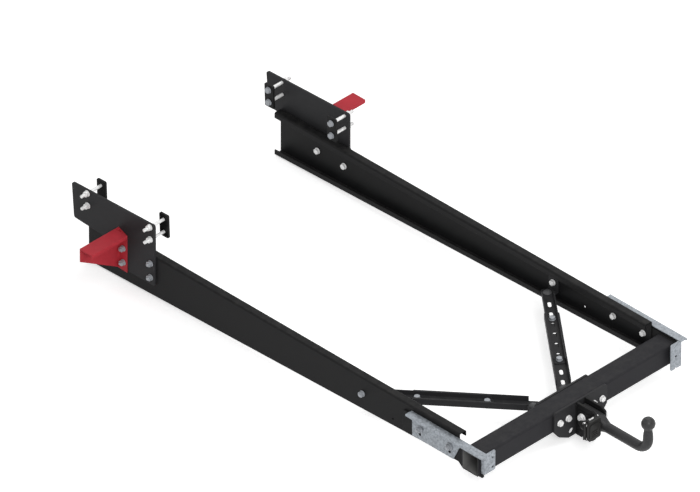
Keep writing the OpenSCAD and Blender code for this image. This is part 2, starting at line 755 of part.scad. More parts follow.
module neck_bolts() {
    grip = cheek_out * 2 + bracket_t;
    color(zinc) for (i = [0:1])
        translate([-cheek_out - bracket_t, -neck_bolt_y - i * neck_bolt_step, neck_bolt_z]) rotate([0, 90, 0])
            bolt_set(big_bolt_d, big_bolt_af, grip, 6);
}

// The socket's own frame: origin on its axis at the bracket's rear face, +Z to the rear, +Y up
module socket_frame() {
    translate([-socket_x, -bracket_y, socket_z]) rotate([90, 0, 0]) children();
}
socket_screw_x = socket_w / 2 - 7;
socket_screw_y = socket_h / 2 - 7;
module socket_screw_points() {
    for (x = [-1, 1], y = [-1, 1]) translate([x * socket_screw_x, y * socket_screw_y, 0]) children();
}
back_d = 34;
screw_d = 5;
// The bent sheet between cheek and socket
module socket_bracket() {
    leg_front = neck_bolt_y - 20;
    color(black) difference() {
        union() {
            along_x(-cheek_out - bracket_t, -cheek_out)
                soft_square([-bracket_y, neck_bolt_z - 20], [-leg_front, neck_bolt_z + 20], 5);
            translate([-socket_x - socket_w / 2, -bracket_y, socket_z - socket_h / 2])
                cube([socket_x + socket_w / 2 - cheek_out, bracket_t, socket_h]);
        }
        for (i = [0:1]) hole_x(-neck_bolt_y - i * neck_bolt_step, neck_bolt_z, big_hole_d,
            -cheek_out - bracket_t - 1, -cheek_out + 1);
        socket_frame() translate([0, 0, -bracket_t - 1]) {
            cylinder(d = back_d + 1, h = bracket_t + 2, $fn = cut);
            socket_screw_points() cylinder(d = screw_d + 0.5, h = bracket_t + 2, $fn = rnd);
        }
    }
}
gasket_t = 1.5;
rim_h = 4;
rim_top = gasket_t + flange_t + rim_h;
insert_h = 12;
insert_top = rim_top - socket_depth - 2;
carrier_d = back_d - 4;
// The socket's moulded body: flange, round back and two hinge ears
module socket_body() {
    color([0.12, 0.12, 0.12]) socket_frame() difference() {
        union() {
            translate([0, 0, gasket_t]) linear_extrude(flange_t)
                soft_square([-socket_w / 2, -socket_h / 2], [socket_w / 2, socket_h / 2], 6);
            translate([0, 0, gasket_t - 30]) cylinder(d = back_d, h = 31, $fn = cut);
            translate([0, 0, gasket_t + flange_t - 1]) cylinder(d = socket_bore + 6, h = rim_h + 1, $fn = cut);
            for (s = [-1, 1]) translate([s * (socket_w / 2 - 6) - 4, pin_up - 10, gasket_t]) {
                cube([8, 10, flange_t]);
                translate([0, 10, pin_back - gasket_t]) rotate([0, 90, 0]) cylinder(d = knuckle_d, h = 8, $fn = rnd);
            }
        }
        translate([0, 0, insert_top - insert_h]) cylinder(d = carrier_d, h = 30, $fn = cut);
        translate([0, 0, insert_top - insert_h - 5]) cylinder(d = carrier_d - 5, h = 10, $fn = cut);
        translate([0, 0, rim_top - socket_depth]) cylinder(d = socket_bore, h = socket_depth + 1, $fn = cut);
        socket_screw_points() cylinder(d = screw_d + 0.5, h = 20, $fn = rnd);
        translate([-socket_w, pin_up, pin_back]) rotate([0, 90, 0]) cylinder(d = pin_d, h = 2 * socket_w, $fn = rnd);
    }
}
insert_r = 11;
// The contact carrier in the bore
module socket_insert() {
    color([0.20, 0.20, 0.20]) socket_frame() difference() {
        translate([0, 0, insert_top - insert_h]) cylinder(d = carrier_d - 0.1, h = insert_h, $fn = cut);
        contact_points() cylinder(d = 2.6, h = 60, center = true, $fn = 24);
    }
}
module contact_points() {
    children();
    for (k = [0:contacts - 1]) rotate([0, 0, 360 * k / contacts]) translate([insert_r, 0, 0]) children();
}
module socket_contacts() {
    color([0.80, 0.62, 0.28]) socket_frame() contact_points() translate([0, 0, insert_top - 14])
        cylinder(d = 2.5, h = 20, $fn = 24);
}
module socket_gasket() {
    color([0.08, 0.08, 0.08]) socket_frame() difference() {
        linear_extrude(gasket_t) soft_square([-socket_w / 2, -socket_h / 2], [socket_w / 2, socket_h / 2], 6);
        translate([0, 0, -1]) cylinder(d = back_d + 1, h = gasket_t + 2, $fn = cut);
        translate([0, 0, -1]) socket_screw_points() cylinder(d = screw_d + 0.5, h = gasket_t + 2, $fn = rnd);
    }
}
// The cable gland at the back of the socket
module socket_gland() {
    color([0.10, 0.10, 0.10]) socket_frame() translate([0, 0, gasket_t - 30]) rotate([180, 0, 0]) difference() {
        union() {
            cylinder(d = 26, h = 6, $fn = cut);
            translate([0, 0, 6]) cylinder(d1 = 22, d2 = 14, h = 14, $fn = cut);
        }
        translate([0, 0, -1]) cylinder(d = 9, h = 22, $fn = rnd);
    }
}
module socket_screws() {
    color(zinc) socket_frame() socket_screw_points() {
        translate([0, 0, gasket_t + flange_t]) cylinder(d = 9, h = 3, $fn = rnd);
        translate([0, 0, -bracket_t - 7]) cylinder(d = screw_d, h = gasket_t + flange_t + bracket_t + 8, $fn = rnd);
        translate([0, 0, -bracket_t - 4]) difference() {
            cylinder(d = 9, h = 4, $fn = 6);
            translate([0, 0, -1]) cylinder(d = screw_d + 0.1, h = 6, $fn = rnd);
        }
    }
}
lid_y = rim_top + lid_gap;
lid_knuckle = socket_w / 2 - 10 - lid_gap;
// The hinged lid, turned about its pin at the top
module socket_lid() {
    color([0.12, 0.12, 0.12]) socket_frame() difference() {
        union() {
            translate([0, 0, lid_y]) linear_extrude(lid_t)
                soft_square([-socket_w / 2 + 1, -socket_h / 2 + 1], [socket_w / 2 - 1, pin_up + knuckle_d / 2 - 1], 8);
            for (s = [-1, 1]) translate([s * (lid_knuckle - 3.5) - 3.5, 0, 0]) {
                translate([0, pin_up, pin_back]) rotate([0, 90, 0]) cylinder(d = knuckle_d, h = 7, $fn = rnd);
                translate([0, pin_up - 1, pin_back]) cube([7, knuckle_d / 2, lid_y + lid_t - pin_back - 2]);
            }
            translate([-9, -socket_h / 2 - 5, lid_y + 2]) cube([18, 8, lid_t - 5]);
        }
        translate([0, 0, lid_y - 1]) cylinder(d = socket_bore + 7, h = 5, $fn = cut);
        translate([-socket_w, pin_up, pin_back]) rotate([0, 90, 0])
            cylinder(d = pin_d + 2 * pin_fit, h = 2 * socket_w, $fn = rnd);
        socket_screw_points() translate([0, 0, lid_y - 1]) cylinder(d = 11, h = 4, $fn = rnd);
    }
}
module lid_seal() {
    color([0.06, 0.06, 0.06]) socket_frame() translate([0, 0, lid_y + 1]) difference() {
        cylinder(d = socket_bore + 6.6, h = 3, $fn = cut);
        translate([0, 0, -1]) cylinder(d = socket_bore + 1, h = 5, $fn = cut);
    }
}
module lid_pin() {
    color(zinc) socket_frame() translate([-socket_w / 2 - 1, pin_up, pin_back]) rotate([0, 90, 0]) {
        cylinder(d = pin_d, h = socket_w + 2, $fn = rnd);
        translate([0, 0, -1.5]) cylinder(d = pin_d + 2, h = 2, $fn = rnd);
        translate([0, 0, socket_w + 1.5]) cylinder(d = pin_d + 2, h = 2, $fn = rnd);
    }
}
// The lid's torsion spring, one wire swept round the pin
spring_fit = 0.12;
spring_r = (pin_d + wire_d) / 2 + spring_fit;
spring_w = 2 * (lid_knuckle - 7) - 2;
spring_steps = spring_turns * 8;
module lid_spring() {
    pitch = (spring_w - wire_d) / spring_turns;
    rings = [for (i = [0:spring_steps]) let (a = i * 45, x = -spring_w / 2 + wire_d / 2 + pitch * i / 8)
        [for (k = [0:5]) let (r = spring_r + wire_d / 2 * cos(k * 60))
            [x + wire_d / 2 * sin(k * 60), r * cos(a), r * sin(a)]]];
    points = [for (ring = rings) each ring];
    n = spring_steps;
    faces = concat(
        [[5, 4, 3, 2, 1, 0]],
        [for (i = [0:n - 1], k = [0:5]) each [
            [i * 6 + k, i * 6 + (k + 1) % 6, (i + 1) * 6 + (k + 1) % 6],
            [i * 6 + k, (i + 1) * 6 + (k + 1) % 6, (i + 1) * 6 + k]]],
        [[for (k = [0:5]) n * 6 + k]]);
    echo(spring_gap = pitch - wire_d);
    color(zinc) socket_frame() translate([0, pin_up, pin_back]) polyhedron(points, faces, convexity = 6);
}

place() on_left() rail();  // left_rail
place() rail();  // right_rail
place() cross_beam();
place() on_left() end_plate();  // left_end_plate
place() end_plate();  // right_end_plate
place() on_left() left_bracket();  // left_bumper_bracket
place() right_bracket();  // right_bumper_bracket
place() on_left() beam_bolts();  // left_beam_bolts
place() beam_bolts();  // right_beam_bolts
place() on_left() mount_plate();  // left_mount_plate
place() mount_plate();  // right_mount_plate
place() on_left() clamp_plate(0);  // left_rear_clamp
place() on_left() clamp_plate(1);  // left_front_clamp
place() clamp_plate(0);  // right_rear_clamp
place() clamp_plate(1);  // right_front_clamp
place() on_left() chassis_bolts();  // left_chassis_bolts
place() chassis_bolts();  // right_chassis_bolts
place() on_left() rail_bolts();  // left_rail_bolts
place() rail_bolts();  // right_rail_bolts
place() on_left() outrigger();  // left_outrigger
place() outrigger();  // right_outrigger
place() on_left() brace_angle();  // left_brace_angle
place() brace_angle();  // right_brace_angle
place() on_left() angle_bolt();  // left_angle_bolt
place() angle_bolt();  // right_angle_bolt
place() on_left() brace_outer();  // left_brace_outer
place() brace_outer();  // right_brace_outer
place() on_left() brace_inner();  // left_brace_inner
place() brace_inner();  // right_brace_inner
place() on_left() brace_bolts();  // left_brace_bolts
place() brace_bolts();  // right_brace_bolts
place() on_left() brace_pivots();  // left_brace_pivots
place() brace_pivots();  // right_brace_pivots
place() head_front_plate();
place() head_rear_plate();
place() on_left() cheek();  // left_cheek
place() cheek();  // right_cheek
place() head_bolts();
place() swan_neck();
place() neck_bolts();
place() socket_bracket();
place() socket_body();
place() socket_insert();
place() socket_contacts();
place() socket_gasket();
place() socket_gland();
place() socket_screws();
place() socket_lid();
place() lid_seal();
place() lid_pin();
place() lid_spring();
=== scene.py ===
"""Dresses the tow bar for a motorhome: coats, welds, threads, the forged neck and the trailer socket."""

import math
import random

import bmesh
import bpy
from bpy.props import FloatProperty, FloatVectorProperty, IntProperty, PointerProperty
from bpy.types import Operator, Panel, PropertyGroup
from mathutils import Matrix, Vector


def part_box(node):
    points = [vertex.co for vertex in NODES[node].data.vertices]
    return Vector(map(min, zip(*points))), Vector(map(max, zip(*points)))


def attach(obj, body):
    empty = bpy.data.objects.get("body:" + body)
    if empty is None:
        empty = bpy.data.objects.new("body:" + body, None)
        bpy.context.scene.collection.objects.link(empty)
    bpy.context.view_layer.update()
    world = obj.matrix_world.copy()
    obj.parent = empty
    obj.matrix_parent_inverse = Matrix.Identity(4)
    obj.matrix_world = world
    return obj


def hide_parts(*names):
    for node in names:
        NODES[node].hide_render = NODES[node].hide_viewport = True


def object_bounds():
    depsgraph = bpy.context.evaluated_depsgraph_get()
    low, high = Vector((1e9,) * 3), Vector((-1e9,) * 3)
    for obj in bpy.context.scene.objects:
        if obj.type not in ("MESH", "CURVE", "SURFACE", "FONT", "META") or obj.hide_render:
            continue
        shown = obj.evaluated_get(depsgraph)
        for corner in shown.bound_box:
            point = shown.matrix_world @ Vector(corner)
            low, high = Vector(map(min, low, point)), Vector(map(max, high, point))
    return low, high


bl_info = {
    "name": "Tow bar dressing",
    "version": (1, 0, 0),
    "blender": (4, 5, 0),
    "location": "3D View > Sidebar > Tow Bar",
    "description": "Finishes, fasteners, welds and small pieces for a motorhome's tow bar",
    "category": "Object",
}

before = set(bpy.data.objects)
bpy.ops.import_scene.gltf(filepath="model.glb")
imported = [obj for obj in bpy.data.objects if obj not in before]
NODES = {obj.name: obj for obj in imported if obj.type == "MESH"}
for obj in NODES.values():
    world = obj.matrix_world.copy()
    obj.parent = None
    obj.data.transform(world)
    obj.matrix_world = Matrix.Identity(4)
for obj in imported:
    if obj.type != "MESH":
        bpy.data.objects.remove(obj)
CAD_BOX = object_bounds()
MAIN = "tow_bar"
LID = "socket_lid"
SIDES = ("left", "right")
AXIS_X, AXIS_Y, AXIS_Z = Vector((1, 0, 0)), Vector((0, 1, 0)), Vector((0, 0, 1))

BLACK_NODES = [
    "left_rail", "right_rail", "left_end_plate", "right_end_plate",
    "left_rear_clamp", "left_front_clamp", "right_rear_clamp", "right_front_clamp",
    "left_cheek", "right_cheek", "socket_bracket",
]
# Nodes in the grey coat, which on the braces is partly painted light
GREY_NODES = [
    "left_mount_plate", "right_mount_plate", "left_brace_angle", "right_brace_angle",
    "left_brace_outer", "right_brace_outer", "left_brace_inner", "right_brace_inner",
    "head_front_plate", "head_rear_plate",
]
BOLT_NODES = [
    "left_beam_bolts", "right_beam_bolts", "left_chassis_bolts", "right_chassis_bolts",
    "left_rail_bolts", "right_rail_bolts", "left_angle_bolt", "right_angle_bolt",
    "left_brace_bolts", "right_brace_bolts", "head_bolts", "neck_bolts",
]
SMALL_ZINC_NODES = ["socket_screws", "lid_pin", "lid_spring"]
PLASTIC_NODES = ["socket_body", "socket_insert", "socket_gland", "socket_lid"]
RUBBER_NODES = ["socket_gasket", "lid_seal"]
DULL_NUTS = (
    "left_beam_bolts", "right_beam_bolts", "left_angle_bolt", "right_angle_bolt", "left_rail_bolts",
    "right_rail_bolts")
DULL_HEADS = ("left_chassis_bolts", "right_chassis_bolts", "left_brace_bolts", "right_brace_bolts")

# Diameter, width across flats and pitch of the two sizes of bolt, and their washers' thickness
M12 = (0.012, 0.019, 0.00175)
M16 = (0.016, 0.024, 0.002)
LARGEST_M12_WASHER = 0.026
WASHER_THICKNESS = 0.0025
SCREW_STEPS = 24


class TowBarCoats(PropertyGroup):
    """Colours of the coats and metals."""

    black: FloatVectorProperty(
        name="Black coat", description="Powder coat of the rails, clamps and cheeks", subtype="COLOR",
        size=3, min=0, max=1, default=(0.0130, 0.0130, 0.0135))
    # A lighter copy of the black coat: the plates' and head's own lighter tone, and on the braces painted
    # light that lifts the shade inside their channels.
    grey_with_painted_light: FloatVectorProperty(
        name="Grey coat", description="Thinner coat of mounting plates, braces and head", subtype="COLOR",
        size=3, min=0, max=1, default=(0.031, 0.031, 0.033))
    beam: FloatVectorProperty(
        name="Beam coat", description="Coat of the cross beam", subtype="COLOR",
        size=3, min=0, max=1, default=(0.0230, 0.0228, 0.0255))
    neck: FloatVectorProperty(
        name="Neck", description="Paint of the forged swan neck", subtype="COLOR",
        size=3, min=0, max=1, default=(0.033, 0.033, 0.034))
    pivot: FloatVectorProperty(
        name="Pivot cap", description="Domed caps of the braces' pivots", subtype="COLOR",
        size=3, min=0, max=1, default=(0.095, 0.095, 0.098))
    red: FloatVectorProperty(
        name="Red coat", description="Powder coat of the outriggers", subtype="COLOR",
        size=3, min=0, max=1, default=(0.50, 0.040, 0.055))
    zinc: FloatVectorProperty(
        name="Zinc", description="Bright zinc plate of the bolts", subtype="COLOR",
        size=3, min=0, max=1, default=(0.95, 0.95, 0.95))
    dull: FloatVectorProperty(
        name="Dull zinc", description="Duller plate of some nuts and heads", subtype="COLOR",
        size=3, min=0, max=1, default=(0.36, 0.38, 0.41))
    galvanised: FloatVectorProperty(
        name="Galvanised", description="Sheet of the bumper brackets", subtype="COLOR",
        size=3, min=0, max=1, default=(0.280, 0.304, 0.332))
    plastic: FloatVectorProperty(
        name="Plastic", description="Moulding of the trailer socket", subtype="COLOR",
        size=3, min=0, max=1, default=(0.014, 0.014, 0.0135))
    # Painted light on the walls inside the cross beam: a colour far lighter than the beam's coat, on top of
    # the bare steel's own tone, so that the shade inside the tube looks lit.
    inside: FloatVectorProperty(
        name="Inside", description="Bare wall inside the cross beam", subtype="COLOR",
        size=3, min=0, max=1, default=(0.170, 0.169, 0.166))
    brass: FloatVectorProperty(
        name="Brass", description="Contacts of the trailer socket", subtype="COLOR",
        size=3, min=0, max=1, default=(0.70, 0.48, 0.20))
    rubber: FloatVectorProperty(
        name="Rubber", description="Gasket and lid seal of the trailer socket", subtype="COLOR",
        size=3, min=0, max=1, default=(0.012, 0.012, 0.012))
    peel: FloatProperty(
        name="Coat texture", description="Size of the powder coat's texture", subtype="DISTANCE",
        unit="LENGTH", min=0.0002, max=0.01, default=0.0016)
    edge: FloatProperty(
        name="Edge width", description="Width over which edges look rounded", subtype="DISTANCE",
        unit="LENGTH", min=0.0002, max=0.004, default=0.0011)


class TowBarWelds(PropertyGroup):
    """Sizes of the weld beads."""

    leg: FloatProperty(
        name="Leg", description="Width of a bead", subtype="DISTANCE", unit="LENGTH",
        min=0.001, max=0.006, default=0.0032)
    ripple: FloatProperty(
        name="Ripple", description="Spacing of a bead's ripples", subtype="DISTANCE", unit="LENGTH",
        min=0.0008, max=0.006, default=0.0028)


class TowBarNeck(PropertyGroup):
    """Sizes of the forged swan neck."""

    bar: FloatProperty(
        name="Bar", description="Diameter of the bar", subtype="DISTANCE", unit="LENGTH",
        min=0.030, max=0.040, default=0.036)
    waist: FloatProperty(
        name="Waist", description="Diameter under the ball", subtype="DISTANCE", unit="LENGTH",
        min=0.026, max=0.030, default=0.029)
    ball: FloatProperty(
        name="Ball", description="Diameter of the ball", subtype="DISTANCE", unit="LENGTH",
        min=0.048, max=0.052, default=0.050)
    flat: FloatProperty(
        name="Flat", description="Diameter of the flat on the ball", subtype="DISTANCE", unit="LENGTH",
        min=0.010, max=0.026, default=0.020)
    bend: FloatProperty(
        name="Bend", description="Radius of the bend's middle line", subtype="DISTANCE", unit="LENGTH",
        min=0.042, max=0.058, default=0.050)
    parting: FloatProperty(
        name="Parting line", description="Height of the forging's parting line", subtype="DISTANCE",
        unit="LENGTH", min=0, max=0.001, default=0.0004)


class TowBarBolts(PropertyGroup):
    """Sizes of the fasteners' details."""

    depth: FloatProperty(
        name="Thread depth", description="Depth of the thread's grooves over the pitch", min=0.2, max=0.7,
        default=0.54)
    steps: IntProperty(
        name="Steps", description="Faces round a thread", min=12, max=64, default=32)


class TowBarStage(PropertyGroup):
    """Floor, light and camera."""

    drop: FloatProperty(
        name="Floor drop", description="Distance of the floor below the object", subtype="DISTANCE",
        unit="LENGTH", min=0, max=1, default=0.004)
    sky: FloatProperty(name="Sky", description="Strength of the even light", min=0, max=2, default=0.50)
    key: FloatProperty(name="Key", description="Strength of the rear light", min=0, max=10, default=0.55)
    front: FloatProperty(
        name="Front", description="Strength of the light beside the camera", min=0, max=10, default=0.8)
    fill: FloatProperty(name="Fill", description="Strength of the side light", min=0, max=10, default=0.25)
    lens: FloatProperty(
        name="Lens", description="Focal length in millimetres", min=50, max=1150, default=1150)


# Node groups and materials


DUST = (0.16, 0.155, 0.145)
BARE_STEEL = (0.16, 0.16, 0.165)
SCRATCH = (0.80, 0.79, 0.74)


def add(tree, kind, links=None, **settings):
    """A node with its settings; links gives sockets or values for its inputs."""
    node = tree.nodes.new(kind)
    for key, value in settings.items():
        setattr(node, key, value)
    for key, value in (links or {}).items():
        if isinstance(value, bpy.types.NodeSocket):
            tree.links.new(value, node.inputs[key])
        else:
            node.inputs[key].default_value = value
    return node


def ramp(tree, source, low, high, first=0.0, last=1.0):
    """A clamped linear map of a value."""
    node = add(tree, "ShaderNodeMapRange", {0: source, 1: low, 2: high, 3: first, 4: last}, clamp=True)
    return node.outputs[0]


def maths(tree, operation, a, b=0.0):
    """One step of arithmetic."""
    return add(tree, "ShaderNodeMath", {0: a, 1: b}, operation=operation).outputs[0]


def noise(tree, vector, scale, detail, rough=0.5):
    """A noise texture's value."""
    inputs = {"Vector": vector, "Scale": scale, "Detail": detail, "Roughness": rough}
    return add(tree, "ShaderNodeTexNoise", inputs).outputs["Fac"]


def new_group(name, numbers, results):
    """A shader node group on a Vector with named numbers, its given sockets and its result sockets."""
    tree = bpy.data.node_groups.new(name, "ShaderNodeTree")
    tree.interface.new_socket("Vector", in_out="INPUT", socket_type="NodeSocketVector")
    for label, value in numbers.items():
        socket = tree.interface.new_socket(label, in_out="INPUT", socket_type="NodeSocketFloat")
        socket.default_value = value
    for label in results:
        kind = "NodeSocketVector" if label == "Normal" else "NodeSocketFloat"
        tree.interface.new_socket(label, in_out="OUTPUT", socket_type=kind)
    return tree, tree.nodes.new("NodeGroupInput").outputs, tree.nodes.new("NodeGroupOutput").inputs


def worn_and_highlit_edge_group():
    """Rounds edges to the eye, and masks edges in patches, where the coat is worn off and where a painted
    highlight lightens them.
    """
    tree, given, result = new_group("Worn edge", {"Width": 0.001, "Amount": 0.5}, ("Mask", "Normal"))
    bevel = add(tree, "ShaderNodeBevel", {"Radius": given["Width"]}, samples=4).outputs[0]
    flat = add(tree, "ShaderNodeNewGeometry").outputs["Normal"]
    turn = add(tree, "ShaderNodeVectorMath", {0: bevel, 1: flat}, operation="DOT_PRODUCT").outputs["Value"]
    edge = ramp(tree, turn, 0.995, 0.86)
    wear_and_highlight_patches = ramp(tree, noise(tree, given["Vector"], 46.0, 4.0, 0.62), 0.46, 0.70)
    mask = maths(tree, "MULTIPLY", maths(tree, "MULTIPLY", edge, wear_and_highlight_patches), given["Amount"])
    tree.links.new(mask, result["Mask"])
    tree.links.new(bevel, result["Normal"])
    return tree


def coat_texture_group():
    """The fine skin of powder coat or plastic, and broad clouding."""
    tree, given, result = new_group("Coat texture", {"Size": 0.0016}, ("Height", "Cloud"))
    scale = maths(tree, "DIVIDE", 1.0, given["Size"])
    tree.links.new(noise(tree, given["Vector"], scale, 2.0, 0.45), result["Height"])
    tree.links.new(ramp(tree, noise(tree, given["Vector"], 9.0, 5.0, 0.6), 0.3, 0.7), result["Cloud"])
    return tree


def dust_group():
    """Specks of dust on what faces up."""
    tree, given, result = new_group("Dust", {"Amount": 0.3}, ("Mask",))
    normal = add(tree, "ShaderNodeNewGeometry").outputs["Normal"]
    up = ramp(tree, add(tree, "ShaderNodeSeparateXYZ", {0: normal}).outputs["Z"], 0.2, 1.0)
    specks = ramp(tree, noise(tree, given["Vector"], 30.0, 6.0, 0.7), 0.42, 0.72)
    mask = maths(tree, "MULTIPLY", maths(tree, "MULTIPLY", up, specks), given["Amount"])
    tree.links.new(mask, result["Mask"])
    return tree


def spangle_group():
    """Crystals of zinc with ragged borders and feathered faces."""
    tree, given, result = new_group("Spangle", {"Size": 0.008}, ("Shade", "Height"))
    place = given["Vector"]
    ragged = add(tree, "ShaderNodeTexNoise", {"Vector": place, "Scale": 160.0, "Detail": 2.0})
    stray = (0.003, 0.003, 0.003)
    moved = add(
        tree, "ShaderNodeVectorMath", {0: ragged.outputs["Color"], 1: stray, 2: place},
        operation="MULTIPLY_ADD")
    scale = maths(tree, "DIVIDE", 1.0, given["Size"])
    crystals = add(tree, "ShaderNodeTexVoronoi", {"Vector": moved.outputs[0], "Scale": scale})
    crystal = add(tree, "ShaderNodeSeparateColor", {0: crystals.outputs["Color"]}).outputs[0]
    feather = noise(tree, place, 520.0, 3.0, 0.7)
    mixed = maths(tree, "ADD", crystal, maths(tree, "MULTIPLY", feather, 0.5))
    tree.links.new(ramp(tree, mixed, 0.1, 1.4), result["Shade"])
    tree.links.new(feather, result["Height"])
    return tree


def forged_skin_group():
    """The uneven, pitted skin of a forging."""
    tree, given, result = new_group("Forged skin", {"Size": 0.006}, ("Height", "Shade"))
    scale = maths(tree, "DIVIDE", 1.0, given["Size"])
    broad = noise(tree, given["Vector"], scale, 6.0, 0.6)
    dense = maths(tree, "MULTIPLY", scale, 3.0)
    cells = add(tree, "ShaderNodeTexVoronoi", {"Vector": given["Vector"], "Scale": dense})
    pits = maths(tree, "MULTIPLY", ramp(tree, cells.outputs["Distance"], 0.0, 0.35), 0.15)
    tree.links.new(maths(tree, "ADD", broad, pits), result["Height"])
    tree.links.new(ramp(tree, broad, 0.3, 0.7), result["Shade"])
    return tree


def build_groups():
    """The effects that several materials share."""
    return {
        "edge": worn_and_highlit_edge_group(), "coat": coat_texture_group(), "dust": dust_group(),
        "spangle": spangle_group(), "forged": forged_skin_group(),
    }


def start_material(name):
    """An empty material with its Principled shader and Object coordinates."""
    material = bpy.data.materials.new(name)
    material.use_nodes = True
    tree = material.node_tree
    shader = tree.nodes["Principled BSDF"]
    place = add(tree, "ShaderNodeTexCoord").outputs["Object"]
    return material, tree, shader, place


def placed(tree, group, place, **numbers):
    """A group on the object's coordinates with its own numbers; gives its results."""
    return add(tree, "ShaderNodeGroup", {"Vector": place, **numbers}, node_tree=group).outputs


def mix_colours(tree, mask, a, b):
    """Colour a where the mask is 0 and b where it is 1; each is a socket or a colour."""
    node = add(tree, "ShaderNodeMix", {"Factor": mask}, data_type="RGBA")
    for socket, value in ((node.inputs[6], a), (node.inputs[7], b)):
        if isinstance(value, bpy.types.NodeSocket):
            tree.links.new(value, socket)
        else:
            socket.default_value = (*value, 1.0)
    return node.outputs[2]


def shade(colour, factor, lift=0.0):
    """A colour lifted, made lighter or darker, and kept to 1 at most."""
    return tuple(min(1.0, (c + lift) * factor) for c in colour)


def join(tree, shader, base, rough, strength, depth, height, normal):
    """Links colour and roughness to the shader, and a bump of a depth in metres."""
    inputs = {"Strength": strength, "Distance": depth, "Height": height, "Normal": normal}
    bump = add(tree, "ShaderNodeBump", inputs)
    tree.links.new(base, shader.inputs["Base Color"])
    tree.links.new(rough, shader.inputs["Roughness"])
    tree.links.new(bump.outputs[0], shader.inputs["Normal"])


def inside_painted_light_mask(tree, place, centre, half):
    """One inside a square tube along X, where the walls get painted light, nothing on its outer faces."""
    parts = add(tree, "ShaderNodeSeparateXYZ", {0: place})
    far = [
        maths(tree, "ABSOLUTE", maths(tree, "SUBTRACT", parts.outputs[axis], value))
        for axis, value in (("Y", centre.y), ("Z", centre.z))
    ]
    return ramp(tree, maths(tree, "MAXIMUM", *far), half, half - 0.0005)


def coat_material(
        name, groups, colour, coats, rough=0.48, wear=0.5, dust=0.10, depth=0.00012, tube=None):
    """Powder coat over steel: fine texture, clouding, edges lighter in patches as worn coat and painted
    highlight, a little dust, and painted light inside a tube.
    """
    material, tree, shader, place = start_material(name)
    coat = placed(tree, groups["coat"], place, Size=coats.peel)
    edge = placed(tree, groups["edge"], place, Width=coats.edge, Amount=wear)
    powder = placed(tree, groups["dust"], place, Amount=dust)["Mask"]
    base = mix_colours(tree, coat["Cloud"], shade(colour, 0.86), shade(colour, 1.14))
    # Wear and painted highlight: the edges lighter in patches
    base = mix_colours(tree, edge["Mask"], base, shade(colour, 1.6, lift=0.05))
    base = mix_colours(tree, powder, base, DUST)
    if tube:
        # Painted light: the walls inside the tube take the lighter inside colour in place of their shade
        base = mix_colours(tree, inside_painted_light_mask(tree, place, *tube), base, tuple(coats.inside))
    gloss = ramp(tree, coat["Cloud"], 0.0, 1.0, rough - 0.05, rough + 0.06)
    gloss = maths(tree, "ADD", gloss, maths(tree, "MULTIPLY", powder, 0.35))
    join(tree, shader, base, gloss, 0.55, depth, coat["Height"], edge["Normal"])
    shader.inputs["Specular IOR Level"].default_value = 0.08
    return material


def zinc_material(name, groups, colour, coats, rough=0.30):
    """Bright zinc plate or brass with faint clouds and fine scratches."""
    material, tree, shader, place = start_material(name)
    edge = placed(tree, groups["edge"], place, Width=coats.edge * 0.5, Amount=1.0)
    cloud = noise(tree, place, 110.0, 4.0, 0.6)
    fine = noise(tree, place, 1800.0, 2.0)
    base = mix_colours(tree, ramp(tree, cloud, 0.35, 0.68), shade(colour, 0.88), shade(colour, 1.12))
    base = mix_colours(tree, ramp(tree, fine, 0.55, 0.75, 0.0, 0.35), base, SCRATCH)
    gloss = ramp(tree, cloud, 0.3, 0.7, rough - 0.06, rough + 0.10)
    join(tree, shader, base, gloss, 0.3, 0.00006, fine, edge["Normal"])
    shader.inputs["Metallic"].default_value = 0.2
    return material


def galvanised_material(name, groups, colour, coats):
    """Galvanised sheet with a crystalline spangle."""
    material, tree, shader, place = start_material(name)
    spangle = placed(tree, groups["spangle"], place, Size=0.0065)
    edge = placed(tree, groups["edge"], place, Width=coats.edge * 0.8, Amount=0.8)
    base = mix_colours(tree, spangle["Shade"], shade(colour, 0.62), shade(colour, 1.36))
    # Wear and painted highlight: the sheet's edges lighter in patches
    base = mix_colours(tree, edge["Mask"], base, shade(colour, 1.5))
    gloss = ramp(tree, spangle["Shade"], 0.0, 1.0, 0.30, 0.52)
    join(tree, shader, base, gloss, 0.4, 0.00008, spangle["Height"], edge["Normal"])
    shader.inputs["Metallic"].default_value = 0.55
    return material


def forged_material(name, groups, colour, coats, rough=0.42, size=0.005):
    """Forged steel under thin paint."""
    material, tree, shader, place = start_material(name)
    surface = placed(tree, groups["forged"], place, Size=size)
    edge = placed(tree, groups["edge"], place, Width=coats.edge, Amount=0.8)
    base = mix_colours(tree, surface["Shade"], shade(colour, 0.8), shade(colour, 1.25))
    # Wear and painted highlight: lighter bare steel on the edges in patches
    base = mix_colours(tree, edge["Mask"], base, BARE_STEEL)
    gloss = ramp(tree, surface["Shade"], 0.0, 1.0, rough - 0.08, rough + 0.08)
    join(tree, shader, base, gloss, 0.6, 0.00035, surface["Height"], edge["Normal"])
    shader.inputs["Specular IOR Level"].default_value = 0.2
    return material


def plastic_material(name, groups, colour, coats, rough=0.5):
    """Moulded plastic or rubber with a fine grain."""
    material, tree, shader, place = start_material(name)
    grain = placed(tree, groups["coat"], place, Size=0.0007)
    edge = placed(tree, groups["edge"], place, Width=coats.edge * 0.7, Amount=0.35)
    base = mix_colours(tree, grain["Cloud"], shade(colour, 0.85), shade(colour, 1.15))
    # Wear and painted highlight: the moulding's edges lighter in patches
    base = mix_colours(tree, edge["Mask"], base, shade(colour, 1.5, lift=0.03))
    gloss = ramp(tree, grain["Cloud"], 0.0, 1.0, rough - 0.05, rough + 0.05)
    join(tree, shader, base, gloss, 0.5, 0.00008, grain["Height"], edge["Normal"])
    shader.inputs["Specular IOR Level"].default_value = 0.2
    return material


def dress(node, material):
    """Gives a CAD node its material."""
    for slot in NODES[node].material_slots:
        slot.material = material


# Mesh helpers


